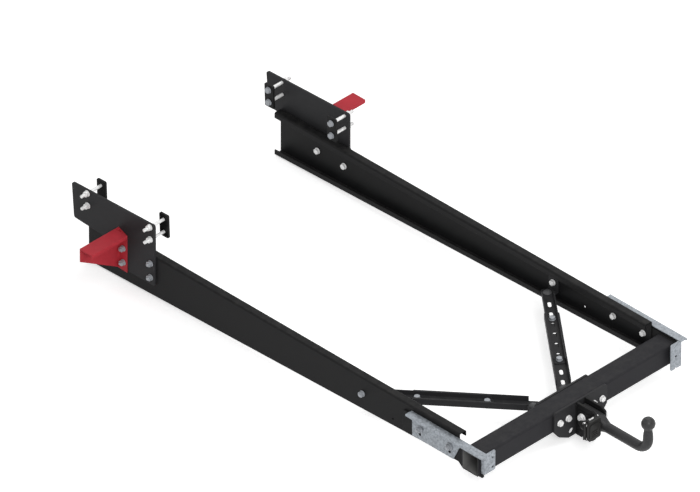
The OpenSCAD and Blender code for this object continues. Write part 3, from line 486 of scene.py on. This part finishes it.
def to_piece(name, bm, materials, body=MAIN, smooth=35.0):
    """Turns a bmesh into a piece that rides on a body; materials are the names of its finishes."""
    bmesh.ops.recalc_face_normals(bm, faces=bm.faces)
    mesh = bpy.data.meshes.new(name)
    bm.to_mesh(mesh)
    bm.free()
    for material in materials:
        mesh.materials.append(bpy.data.materials[material])
    piece = bpy.data.objects.new(name, mesh)
    bpy.context.scene.collection.objects.link(piece)
    for face in mesh.polygons:
        face.use_smooth = True
    mesh.set_sharp_from_angle(angle=math.radians(smooth))
    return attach(piece, body)


def merge_in(bm, other, matrix, finish=0):
    """Adds another bmesh to this one, moved by a matrix and with one of the piece's finishes."""
    mesh = bpy.data.meshes.new("part")
    for face in other.faces:
        face.material_index = finish
    bmesh.ops.transform(other, matrix=matrix, verts=other.verts)
    other.to_mesh(mesh)
    other.free()
    bm.from_mesh(mesh)
    bpy.data.meshes.remove(mesh)


def turned(profile, steps=32):
    """A bmesh of a solid turned round Z: the profile is a list of (radius, height)."""
    bm = bmesh.new()
    verts = [bmesh.ops.create_vert(bm, co=(r, 0, z))["vert"][0] for r, z in profile]
    edges = [bm.edges.new(pair) for pair in zip(verts, verts[1:])]
    bmesh.ops.spin(
        bm, geom=verts + edges, cent=(0, 0, 0), axis=AXIS_Z, angle=math.tau, steps=steps, use_merge=True)
    bmesh.ops.remove_doubles(bm, verts=bm.verts, dist=1e-7)
    bmesh.ops.recalc_face_normals(bm, faces=bm.faces)
    return bm


def points_of(loop):
    """The vertices of a loop of edges."""
    return {vert for edge in loop for vert in edge.verts}


def ring(bm, centre, across, up, wide, high, segments=8, square=2.0, ridge=0.0):
    """A closed loop of edges round a point: an ellipse, or squarer where square is more than 2."""
    verts = bmesh.ops.create_circle(bm, cap_ends=False, segments=segments, radius=1.0)["verts"]
    for vert in verts:
        x, y = (math.copysign(abs(v) ** (2 / square), v) for v in vert.co.xy)
        out = ridge if abs(vert.co.y) < 0.01 else 0.0
        vert.co = centre + across * x * (wide + out) + up * y * high
    return list({edge for vert in verts for edge in vert.link_edges})


def hex_ring(bm, z, apothem):
    """A six-sided loop round Z with as many points as a screw's round ones."""
    loop = ring(bm, AXIS_Z * z, AXIS_X, AXIS_Y, 1, 1, SCREW_STEPS)
    for vert in points_of(loop):
        angle = math.atan2(vert.co.y, vert.co.x) % (math.pi / 3) - math.pi / 6
        vert.co.xy = vert.co.xy.normalized() * apothem / math.cos(angle)
    return loop


def skin(bm, rings, closed=False):
    """Joins a row of rings, and fills both ends unless the row is closed."""
    for first, second in zip(rings, rings[1:] + rings[:1] if closed else rings[1:]):
        bmesh.ops.bridge_loops(bm, edges=first + second)
    if not closed:
        bmesh.ops.holes_fill(bm, edges=rings[0] + rings[-1], sides=0)


def hexagon(across_flats, height, both_ends=False):
    """A hexagonal block from z = 0 with its corners cut."""
    bm = bmesh.new()
    bmesh.ops.create_circle(bm, cap_ends=True, segments=6, radius=across_flats / math.sqrt(3))
    lifted = bmesh.ops.extrude_face_region(bm, geom=bm.faces[:])
    tops = [v for v in lifted["geom"] if isinstance(v, bmesh.types.BMVert)]
    bmesh.ops.translate(bm, verts=tops, vec=(0, 0, height))
    corners = [v for v in bm.verts if both_ends or v.co.z > height / 2]
    cut = across_flats * 0.105
    bmesh.ops.bevel(bm, geom=corners, offset=cut, affect="VERTICES", segments=3, profile=0.5, material=-1)
    bmesh.ops.recalc_face_normals(bm, faces=bm.faces)
    return bm


def panel(wide, high, corner):
    """A flat sheet in X and Y with round corners."""
    bm = bmesh.new()
    bmesh.ops.create_grid(bm, x_segments=1, y_segments=1, size=0.5)
    bmesh.ops.scale(bm, verts=bm.verts, vec=(wide, high, 1))
    bmesh.ops.bevel(
        bm, geom=bm.verts[:], offset=corner, affect="VERTICES", segments=6, profile=0.5, material=-1)
    return bm


def raised(bm, height):
    """Lifts the sheet's face and returns the lifted face."""
    made = bmesh.ops.extrude_face_region(bm, geom=bm.faces[:])["geom"]
    top = [item for item in made if isinstance(item, bmesh.types.BMFace)]
    bmesh.ops.translate(bm, verts=list({v for face in top for v in face.verts}), vec=(0, 0, height))
    return top


# Fasteners


def islands(node):
    """The solids of a CAD node as pairs of lowest and highest corner, in the order of the low ones."""
    bm = bmesh.new()
    bm.from_mesh(NODES[node].data)
    bmesh.ops.remove_doubles(bm, verts=bm.verts, dist=1e-6)
    left = set(bm.verts)
    found = []
    while left:
        seed = [left.pop()]
        low, high = seed[0].co.copy(), seed[0].co.copy()
        while seed:
            vert = seed.pop()
            low = Vector(map(min, low, vert.co))
            high = Vector(map(max, high, vert.co))
            for edge in vert.link_edges:
                other = edge.other_vert(vert)
                if other in left:
                    left.remove(other)
                    seed.append(other)
        found.append((low, high))
    bm.free()
    return sorted(found, key=lambda solid: solid[0].to_tuple(4))


def bolts_of(node):
    """Each bolt of a node: a matrix with Z from head to nut, and its lengths and washers."""
    solids = islands(node)
    bolts = []
    for low, high in solids:
        size = high - low
        axis = max(range(3), key=lambda k: size[k])
        cross = [k for k in range(3) if k != axis]
        if size[axis] < 1.25 * max(size[k] for k in cross):
            continue
        middle = (low + high) / 2
        nut_low, nut_high = next(
            (a, b) for a, b in solids
            if all(abs((a + b)[k] / 2 - middle[k]) < 0.001 for k in cross)
            and low[axis] < a[axis] and b[axis] < high[axis])
        forward = 1 if (nut_low + nut_high)[axis] / 2 > middle[axis] else -1
        start = low[axis] if forward > 0 else high[axis]
        near, far = sorted(abs(corner[axis] - start) for corner in (nut_low, nut_high))
        origin = middle.copy()
        origin[axis] = start
        direction = Vector((0, 0, 0))
        direction[axis] = forward
        turn = direction.to_track_quat("Z", "Y").to_matrix().to_4x4()
        bolts.append({
            "matrix": Matrix.Translation(origin) @ turn,
            "length": size[axis],
            "near": near,
            "far": far,
            "head_washer": max(size[k] for k in cross),
            "nut_washer": max((nut_high - nut_low)[k] for k in cross),
        })
    return bolts


def thread_profile(d, pitch, depth, low, high):
    """Radius and height pairs for a threaded stretch from low to high, closed on the axis."""
    root = d / 2 - pitch * depth
    points = [(0.0, low), (d / 2, low)]
    z = low + pitch * 0.5
    while z < high - pitch * 1.2:
        points += [(d / 2, z), (root, z + pitch * 0.45), (d / 2, z + pitch * 0.9)]
        z += pitch
    points += [(d / 2, high - pitch), (root, high), (0.0, high)]
    return points


def washer(inner, outer, low):
    """A washer with soft outer edges."""
    high, soft = low + WASHER_THICKNESS, WASHER_THICKNESS * 0.2
    return turned([
        (inner, low), (outer - soft, low), (outer, low + soft), (outer, high - soft), (outer - soft, high),
        (inner, high), (inner, low)])


def any_turn(turns):
    """A hexagon turned at random about its own axis."""
    return Matrix.Rotation(turns.uniform(0, 1.05), 4, "Z")


def make_bolts(node):
    """Hexagon bolts, washers and nuts with a rolled thread, in place of a node's plain ones."""
    settings = bpy.context.scene.tow_bolts
    bm = bmesh.new()
    turns = random.Random(node)
    at_head, at_nut = int(node in DULL_HEADS), int(node in DULL_NUTS)
    for bolt in bolts_of(node):
        matrix, near = bolt["matrix"], bolt["near"]
        d, across_flats, pitch = M12 if bolt["head_washer"] < LARGEST_M12_WASHER else M16
        head = d * 0.63
        bore = d / 2 - 0.0004
        flip = Matrix.Translation((0, 0, head)) @ Matrix.Rotation(math.pi, 4, "X")
        merge_in(bm, hexagon(across_flats, head), matrix @ flip @ any_turn(turns), at_head)
        chamfer = [(0, 0.0003), (across_flats * 0.40, 0.0003), (across_flats * 0.43, 0), (0, -0.0001)]
        merge_in(bm, turned(chamfer), matrix, at_head)
        merge_in(bm, washer(bore, bolt["head_washer"] / 2, head), matrix, at_head)
        merge_in(bm, washer(bore, bolt["nut_washer"] / 2, near), matrix, at_nut)
        nut = hexagon(across_flats, bolt["far"] - near - WASHER_THICKNESS, both_ends=True)
        seat = Matrix.Translation((0, 0, near + WASHER_THICKNESS))
        merge_in(bm, nut, matrix @ seat @ any_turn(turns), at_nut)
        shank = near - 0.002
        merge_in(bm, turned([(0, head), (d / 2, head), (d / 2, shank), (0, shank)]), matrix)
        profile = thread_profile(d, pitch, settings.depth, shank, bolt["length"])
        merge_in(bm, turned(profile, settings.steps), matrix, at_nut)
    piece = to_piece(node + "_threaded", bm, ["Bright zinc", "Dull zinc"], smooth=32.0)
    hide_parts(node)


# Weld beads


def bead(bm, points, closed=False, size=1.0):
    """A rippled weld bead along a path, laid on into the mesh."""
    welds = bpy.context.scene.tow_welds
    path = []
    stretches = zip(points, points[1:] + points[:1] if closed else points[1:])
    for a, b in stretches:
        count = max(2, int((b - a).length * 4 / welds.ripple))
        path += [a.lerp(b, k / count) for k in range(count)]
    if not closed:
        path.append(points[-1])
    wobble = random.Random(len(path))
    rings = []
    travelled = 0.0
    last = len(path) - 1
    for i, point in enumerate(path):
        ahead = path[(i + 1) % len(path)] if closed or i < last else point
        behind = path[i - 1] if closed or i else point
        travelled += (point - behind).length if i else 0.0
        phase = (travelled % welds.ripple) / welds.ripple
        radius = size * welds.leg * (0.90 + 0.10 * math.sqrt(max(0.0, 1 - (2 * phase - 1) ** 2)))
        radius *= 1 + wobble.uniform(-0.03, 0.03)
        if not closed:
            radius *= min(1.0, 0.45 + min(i, last - i) * 0.2)
        turn = (ahead - behind).to_track_quat("Z", "Y")
        rings.append(ring(bm, point, turn @ AXIS_X, turn @ AXIS_Y, radius, radius))
    skin(bm, rings, closed)


def beam_weld(side):
    """The beads round the beam on both faces of an end plate."""
    beam_low, beam_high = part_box("cross_beam")
    low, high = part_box(side + "_end_plate")
    inner, outer = (high.x, low.x) if side == "left" else (low.x, high.x)
    bend, turns = 0.006, 4
    corners = (
        (beam_low.y + bend, beam_low.z + bend, 180), (beam_high.y - bend, beam_low.z + bend, 270),
        (beam_high.y - bend, beam_high.z - bend, 0), (beam_low.y + bend, beam_high.z - bend, 90))
    bm = bmesh.new()
    for x, size in ((inner, 1.0), (outer, 0.8)):
        path = []
        for y, z, start in corners:
            for k in range(turns + 1):
                angle = math.radians(start + 90 * k / turns)
                path.append(Vector((x, y + bend * math.cos(angle), z + bend * math.sin(angle))))
        bead(bm, path, closed=True, size=size)
    to_piece(side + "_beam_weld", bm, ["Weld coat"], smooth=60)


def head_weld(side):
    """The beads of a cheek on the rear plate and of a brace's tab on the front plate."""
    low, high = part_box(side + "_cheek")
    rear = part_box("head_rear_plate")[0].y
    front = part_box("cross_beam")[1].y + 0.008
    stop = 0.010
    tab_x, tab_half = (-0.074 if side == "left" else 0.074), 0.027
    tab_faces = (-0.131, -0.136)
    bm = bmesh.new()
    for x in (low.x, high.x):
        bead(bm, [Vector((x, rear, low.z + stop)), Vector((x, rear, high.z - stop))])
    for z in tab_faces:
        bead(bm, [Vector((tab_x - tab_half, front, z)), Vector((tab_x + tab_half, front, z))])
    to_piece(side + "_head_weld", bm, ["Weld coat"], smooth=60)


def outrigger_weld(side):
    """The beads between an outrigger's web and its flanges."""
    sign = -1 if side == "left" else 1
    low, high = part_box(side + "_outrigger")
    sheet = 0.004
    web, flange = high.y - sheet, high.z - sheet
    root = sign * (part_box("right_mount_plate")[1].x + sheet)
    tip = sign * (max(abs(low.x), abs(high.x)) - 0.006)
    bm = bmesh.new()
    bead(bm, [Vector((root, web, low.z + 0.012)), Vector((root, web, high.z - 0.022))])
    bead(bm, [Vector((root + sign * 0.018, web, flange)), Vector((tip, web, flange))])
    to_piece(side + "_outrigger_weld", bm, ["Red coat"], smooth=60)


# Swan neck


def make_neck():
    """The forged neck: a flat tang that flows into a round bar, a bend, a waist and the ball."""
    neck = bpy.context.scene.tow_neck
    bar, waist, ball = neck.bar / 2, neck.waist / 2, neck.ball / 2
    tang_wide, tang_high, soft = 0.0169, 0.0285, 0.0015
    tang_z, bar_z = -0.1075, -0.114
    tang_front, tang_rear, bar_front = 0.314, 0.228, 0.188
    squareness = 9
    ball_start, paint_end = -0.0197, -0.0195
    bm = bmesh.new()
    rings = []

    def station(centre, normal, wide, high, square=2.0, ridge=0.0):
        rings.append(ring(bm, centre, AXIS_X, normal, wide, high, 48, square, ridge))

    station(Vector((0, tang_front, tang_z)), AXIS_Z, tang_wide - soft, tang_high - soft, squareness)
    for y in (tang_front - soft, tang_rear):
        station(Vector((0, y, tang_z)), AXIS_Z, tang_wide, tang_high, squareness)
    steps = 12
    for k in range(1, steps + 1):
        t = k / steps
        y = tang_rear - (tang_rear - bar_front) * t
        t = t * t * (3 - 2 * t)
        wide = tang_wide + (bar - tang_wide) * t
        high = tang_high + (bar - tang_high) * t
        square = squareness - (squareness - 2) * math.sqrt(t)
        station(Vector((0, y, tang_z + (bar_z - tang_z) * t)), AXIS_Z, wide, high, square, neck.parting * t)
    steps = 8
    for k in range(1, steps):
        y = bar_front + (neck.bend - bar_front) * k / steps
        station(Vector((0, y, bar_z)), AXIS_Z, bar, bar, ridge=neck.parting)
    steps = 16
    for k in range(steps + 1):
        angle = math.radians(-90 - 90 * k / steps)
        out = AXIS_Y * math.cos(angle) + AXIS_Z * math.sin(angle)
        centre = AXIS_Y * neck.bend + AXIS_Z * (bar_z + neck.bend) + out * neck.bend
        station(centre, -out, bar, bar, ridge=neck.parting * (1 - k / steps))
    for z, r in (
            (-0.058, bar), (-0.050, bar - 0.0004), (-0.040, (bar + waist) / 2 + 0.0005),
            (-0.031, waist + 0.0007), (-0.025, waist + 0.0001), (-0.022, waist)):
        station(AXIS_Z * z, AXIS_Y, r, r)
    low = math.asin(ball_start / ball)
    top = math.acos(neck.flat / neck.ball)
    steps = 18
    for k in range(steps + 1):
        angle = low + (top - low) * k / steps
        r = ball * math.cos(angle)
        station(AXIS_Z * ball * math.sin(angle), AXIS_Y, r, r)
    rim = neck.flat / 2 - 0.0006
    station(AXIS_Z * (ball * math.sin(top) + 0.0001), AXIS_Y, rim, rim)
    skin(bm, rings)
    for face in bm.faces:
        face.material_index = int(face.calc_center_median().z > paint_end)
    piece = to_piece("swan_neck_forged", bm, ["Neck paint", "Ball steel"], smooth=40)
    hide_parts("swan_neck")


# Trailer socket


def make_lid_panel():
    """The lid's raised rim, its sunk field and three grip ribs, on the lid's rear face."""
    low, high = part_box("socket_lid")
    middle = (low + high) / 2
    place = Matrix.Translation((middle.x, low.y + 0.0002, middle.z + 0.002))
    place = place @ Matrix.Rotation(math.pi / 2, 4, "X")
    bm = panel(0.050, 0.058, 0.008)
    top = raised(bm, 0.0024)
    bmesh.ops.inset_region(bm, faces=top, thickness=0.0030, depth=0.0)
    bmesh.ops.inset_region(bm, faces=top, thickness=0.0008, depth=-0.0016)
    bmesh.ops.transform(bm, matrix=place, verts=bm.verts)
    rib_step, rib_drop, field = 0.008, 0.012, 0.0006
    for k in (-1, 0, 1):
        rib = panel(0.030, 0.0030, 0.0014)
        raised(rib, 0.0020)
        merge_in(bm, rib, place @ Matrix.Translation((0, k * rib_step - rib_drop, field)))
    to_piece("lid_panel", bm, ["Socket plastic"], body=LID, smooth=40)


def make_gland():
    """The cable gland: a ribbed nut and a tapered sleeve, open where the cable goes in."""
    low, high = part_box("socket_gland")
    middle = (low + high) / 2
    stations = (
        (0.0, 0.0120, 0.0), (0.0008, 0.0130, 0.0006), (0.0052, 0.0130, 0.0006), (0.0060, 0.0120, 0.0),
        (0.0062, 0.0108, 0.0006), (0.0180, 0.0078, 0.0005), (0.0196, 0.0068, 0.0), (0.0198, 0.0048, 0.0),
        (0.0060, 0.0045, 0.0))
    bm = bmesh.new()
    rings = []
    for forward, r, rib in stations:
        centre = Vector((middle.x, low.y + forward, middle.z))
        loop = ring(bm, centre, AXIS_X, AXIS_Z, r, r, 48)
        around = sorted(points_of(loop), key=lambda v: math.atan2(v.co.z - centre.z, v.co.x - centre.x))
        for vert in around[::2]:
            vert.co += (vert.co - centre).normalized() * rib
        rings.append(loop)
    skin(bm, rings)
    piece = to_piece("socket_gland_ribbed", bm, ["Socket plastic"], smooth=30)
    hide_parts("socket_gland")


def make_screws():
    """The socket's round-headed screws with their hexagon recess, and their nuts."""
    d, pitch, threaded = 0.005, 0.0008, 0.007
    recess, recess_depth, head = 0.0015, 0.0018, 0.003
    settings = bpy.context.scene.tow_bolts
    bm = bmesh.new()
    for low, high in islands("socket_screws"):
        middle, size = (low + high) / 2, high - low
        matrix = Matrix.Translation((middle.x, low.y, middle.z)) @ Matrix.Rotation(-math.pi / 2, 4, "X")
        if size.y < size.x:
            merge_in(bm, hexagon(size.x * math.sqrt(0.75), size.y, both_ends=True), matrix)
            continue
        outer, plain = size.x / 2, size.y - threaded
        screw = bmesh.new()
        rings = [hex_ring(screw, recess_depth, recess), hex_ring(screw, 0, recess)]
        for z, r in (
                (0, outer - 0.0009), (0.0003, outer - 0.0003), (0.0009, outer), (head, outer),
                (head, d / 2), (plain, d / 2)):
            rings.append(ring(screw, AXIS_Z * z, AXIS_X, AXIS_Y, r, r, SCREW_STEPS))
        skin(screw, rings)
        merge_in(bm, screw, matrix)
        profile = thread_profile(d, pitch, settings.depth, plain, size.y)
        merge_in(bm, turned(profile, SCREW_STEPS), matrix)
    piece = to_piece("socket_screws_recessed", bm, ["Bright zinc"], smooth=32.0)
    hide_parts("socket_screws")


# Operators


class TOWBAR_OT_finishes(Operator):
    """Make the coats and metals and give them to the carried-over pieces"""

    bl_idname = "towbar.finishes"
    bl_label = "Finishes"

    def execute(self, context):
        coats = context.scene.tow_coats
        groups = build_groups()
        low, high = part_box("cross_beam")
        wall = 0.0045
        # Where the beam's inside walls get painted light
        tube = ((low + high) / 2, (high.z - low.z) / 2 - wall)
        black = coat_material("Black coat", groups, coats.black, coats)
        grey_with_painted_light = coat_material("Grey coat", groups, coats.grey_with_painted_light, coats)
        beam = coat_material("Beam coat", groups, coats.beam, coats, rough=0.5, tube=tube)
        red = coat_material("Red coat", groups, coats.red, coats, rough=0.4, dust=0.05)
        dark = forged_material("Pivot cap", groups, coats.pivot, coats, rough=0.36, size=0.003)
        zinc = zinc_material("Bright zinc", groups, coats.zinc, coats)
        brass = zinc_material("Contact brass", groups, coats.brass, coats, rough=0.26)
        galvanised = galvanised_material("Galvanised sheet", groups, coats.galvanised, coats)
        plastic = plastic_material("Socket plastic", groups, coats.plastic, coats)
        rubber = plastic_material("Seal rubber", groups, coats.rubber, coats, rough=0.72)
        neck = forged_material("Neck paint", groups, coats.neck, coats)
        forged_material("Ball steel", groups, shade(coats.neck, 1.1), coats, rough=0.30, size=0.003)
        coat_material("Weld coat", groups, coats.black, coats, rough=0.38, wear=0.8, depth=0.0003)
        zinc_material("Dull zinc", groups, coats.dull, coats, rough=0.45)
        for nodes, material in (
                (BLACK_NODES, black), (GREY_NODES, grey_with_painted_light), (("cross_beam",), beam), (("swan_neck",), neck),
                (BOLT_NODES + SMALL_ZINC_NODES, zinc), (PLASTIC_NODES, plastic), (RUBBER_NODES, rubber),
                (("socket_contacts",), brass)):
            for node in nodes:
                dress(node, material)
        for side in SIDES:
            dress(side + "_outrigger", red)
            dress(side + "_bumper_bracket", galvanised)
            dress(side + "_brace_pivots", dark)
        return {"FINISHED"}


class TOWBAR_OT_fasteners(Operator):
    """Make the bolts, washers and nuts with their threads"""

    bl_idname = "towbar.fasteners"
    bl_label = "Fasteners"

    def execute(self, context):
        for node in BOLT_NODES:
            make_bolts(node)
        return {"FINISHED"}


class TOWBAR_OT_welds(Operator):
    """Lay the weld beads at the beam's ends, the head and the outriggers"""

    bl_idname = "towbar.welds"
    bl_label = "Weld beads"

    def execute(self, context):
        for side in SIDES:
            beam_weld(side)
            head_weld(side)
            outrigger_weld(side)
        return {"FINISHED"}


class TOWBAR_OT_neck(Operator):
    """Forge the swan neck and its ball"""

    bl_idname = "towbar.neck"
    bl_label = "Swan neck"

    def execute(self, context):
        make_neck()
        return {"FINISHED"}


class TOWBAR_OT_socket(Operator):
    """Make the trailer socket's lid panel, cable gland and screws"""

    bl_idname = "towbar.socket"
    bl_label = "Trailer socket"

    def execute(self, context):
        make_lid_panel()
        make_gland()
        make_screws()
        return {"FINISHED"}


class TOWBAR_OT_stage(Operator):
    """Make the floor, the lights, the world and the camera"""

    bl_idname = "towbar.stage"
    bl_label = "Stage"

    def execute(self, context):
        stage = context.scene.tow_stage
        low, high = CAD_BOX
        centre = (low + high) / 2
        self.floor(context, Vector((centre.x, centre.y, low.z - stage.drop)))
        self.world(context, stage.sky)
        for name, strength, size, place in (
                ("rear_key", stage.key, 2.4, Vector((0.4, -2.2, 3.9))),
                ("front_light", stage.front, 2.0, Vector((-2.6, -4.8, 3.4))),
                ("side_fill", stage.fill, 2.6, Vector((3.2, 1.2, 3.2)))):
            self.lamp(context, name, centre + place, centre, size, strength)
        self.camera(context, stage.lens)
        return {"FINISHED"}

    def floor(self, context, centre):
        """A wide pale floor under the object."""
        bm = bmesh.new()
        bmesh.ops.create_grid(bm, x_segments=1, y_segments=1, size=9.0, matrix=Matrix.Translation(centre))
        mesh = bpy.data.meshes.new("floor")
        bm.to_mesh(mesh)
        bm.free()
        mesh.materials.append(self.floor_material())
        floor = bpy.data.objects.new("floor", mesh)
        context.scene.collection.objects.link(floor)

    def floor_material(self):
        """Pale and matt, and lifted to white for what sees it, so that it keeps the shadow."""
        material, tree, shader, _ = start_material("Floor")
        shader.inputs["Base Color"].default_value = (0.88, 0.88, 0.88, 1)
        shader.inputs["Roughness"].default_value = 0.9
        shader.inputs["Specular IOR Level"].default_value = 0.0
        lift = maths(tree, "MULTIPLY", self.seen(tree), 0.55)
        glow = add(tree, "ShaderNodeEmission", {"Color": (1, 1, 1, 1), "Strength": lift})
        both = add(tree, "ShaderNodeAddShader", {0: shader.outputs[0], 1: glow.outputs[0]})
        tree.links.new(both.outputs[0], tree.nodes["Material Output"].inputs["Surface"])
        return material

    def seen(self, tree):
        """One for the rays that see the background: the camera's, and those off gloss and through glass."""
        path = add(tree, "ShaderNodeLightPath").outputs
        direct = maths(tree, "MAXIMUM", path["Is Camera Ray"], path["Is Glossy Ray"])
        return maths(tree, "MAXIMUM", direct, path["Is Transmission Ray"])

    def world(self, context, sky):
        """An even light that looks white."""
        world = bpy.data.worlds.new("studio")
        world.use_nodes = True
        context.scene.world = world
        tree = world.node_tree
        back = tree.nodes["Background"]
        back.inputs["Color"].default_value = (1, 1, 1, 1)
        tree.links.new(ramp(tree, self.seen(tree), 0.0, 1.0, sky, 1.0), back.inputs["Strength"])

    def lamp(self, context, name, place, target, size, strength):
        """A square area lamp whose strength is about the light it gives at the target."""
        data = bpy.data.lights.new(name, "AREA")
        data.shape = "SQUARE"
        data.size = size
        data.energy = strength * math.pi * (place - target).length_squared * 1.3
        lamp = bpy.data.objects.new(name, data)
        context.scene.collection.objects.link(lamp)
        lamp.location = place
        lamp.rotation_mode = "QUATERNION"
        lamp.rotation_quaternion = (target - place).to_track_quat("-Z", "Y")

    def camera(self, context, lens):
        """A long lens along the drawing's true isometric direction."""
        target, view_width = Vector((0.1267, 1.5563, -0.104)), 2.4045
        back = Vector((-1, -1, 1)).normalized()
        data = bpy.data.cameras.new("view")
        data.lens = lens
        data.sensor_width = 36
        distance = view_width * lens / data.sensor_width
        data.clip_start = 1.0
        data.clip_end = distance * 2
        camera = bpy.data.objects.new("view", data)
        context.scene.collection.objects.link(camera)
        camera.location = target + back * distance
        camera.rotation_mode = "QUATERNION"
        camera.rotation_quaternion = (-back).to_track_quat("-Z", "Y")
        context.scene.camera = camera
        context.scene.view_settings.view_transform = "Standard"


class TOWBAR_PT_panel(Panel):
    """Lists the tow bar's steps in the sidebar"""

    bl_label = "Tow Bar"
    bl_idname = "TOWBAR_PT_panel"
    bl_space_type = "VIEW_3D"
    bl_region_type = "UI"
    bl_category = "Tow Bar"

    def draw(self, context):
        scene = context.scene
        for step in STEPS:
            self.layout.operator(step.bl_idname)
        for name in GROUPS:
            group = getattr(scene, name)
            box = self.layout.box()
            for value in group.__annotations__:
                box.prop(group, value)


STEPS = (
    TOWBAR_OT_finishes, TOWBAR_OT_fasteners, TOWBAR_OT_welds, TOWBAR_OT_neck, TOWBAR_OT_socket,
    TOWBAR_OT_stage)
GROUPS = {
    "tow_coats": TowBarCoats, "tow_welds": TowBarWelds, "tow_neck": TowBarNeck, "tow_bolts": TowBarBolts,
    "tow_stage": TowBarStage,
}


def register():
    for cls in (*GROUPS.values(), *STEPS, TOWBAR_PT_panel):
        bpy.utils.register_class(cls)
    for name, cls in GROUPS.items():
        setattr(bpy.types.Scene, name, PointerProperty(type=cls))


def unregister():
    for name in GROUPS:
        delattr(bpy.types.Scene, name)
    for cls in reversed((*GROUPS.values(), *STEPS, TOWBAR_PT_panel)):
        bpy.utils.unregister_class(cls)


def main():
    register()
    bpy.ops.towbar.finishes()
    bpy.ops.towbar.fasteners()
    bpy.ops.towbar.welds()
    bpy.ops.towbar.neck()
    bpy.ops.towbar.socket()
    bpy.ops.towbar.stage()


if __name__ == "__main__":
    main()
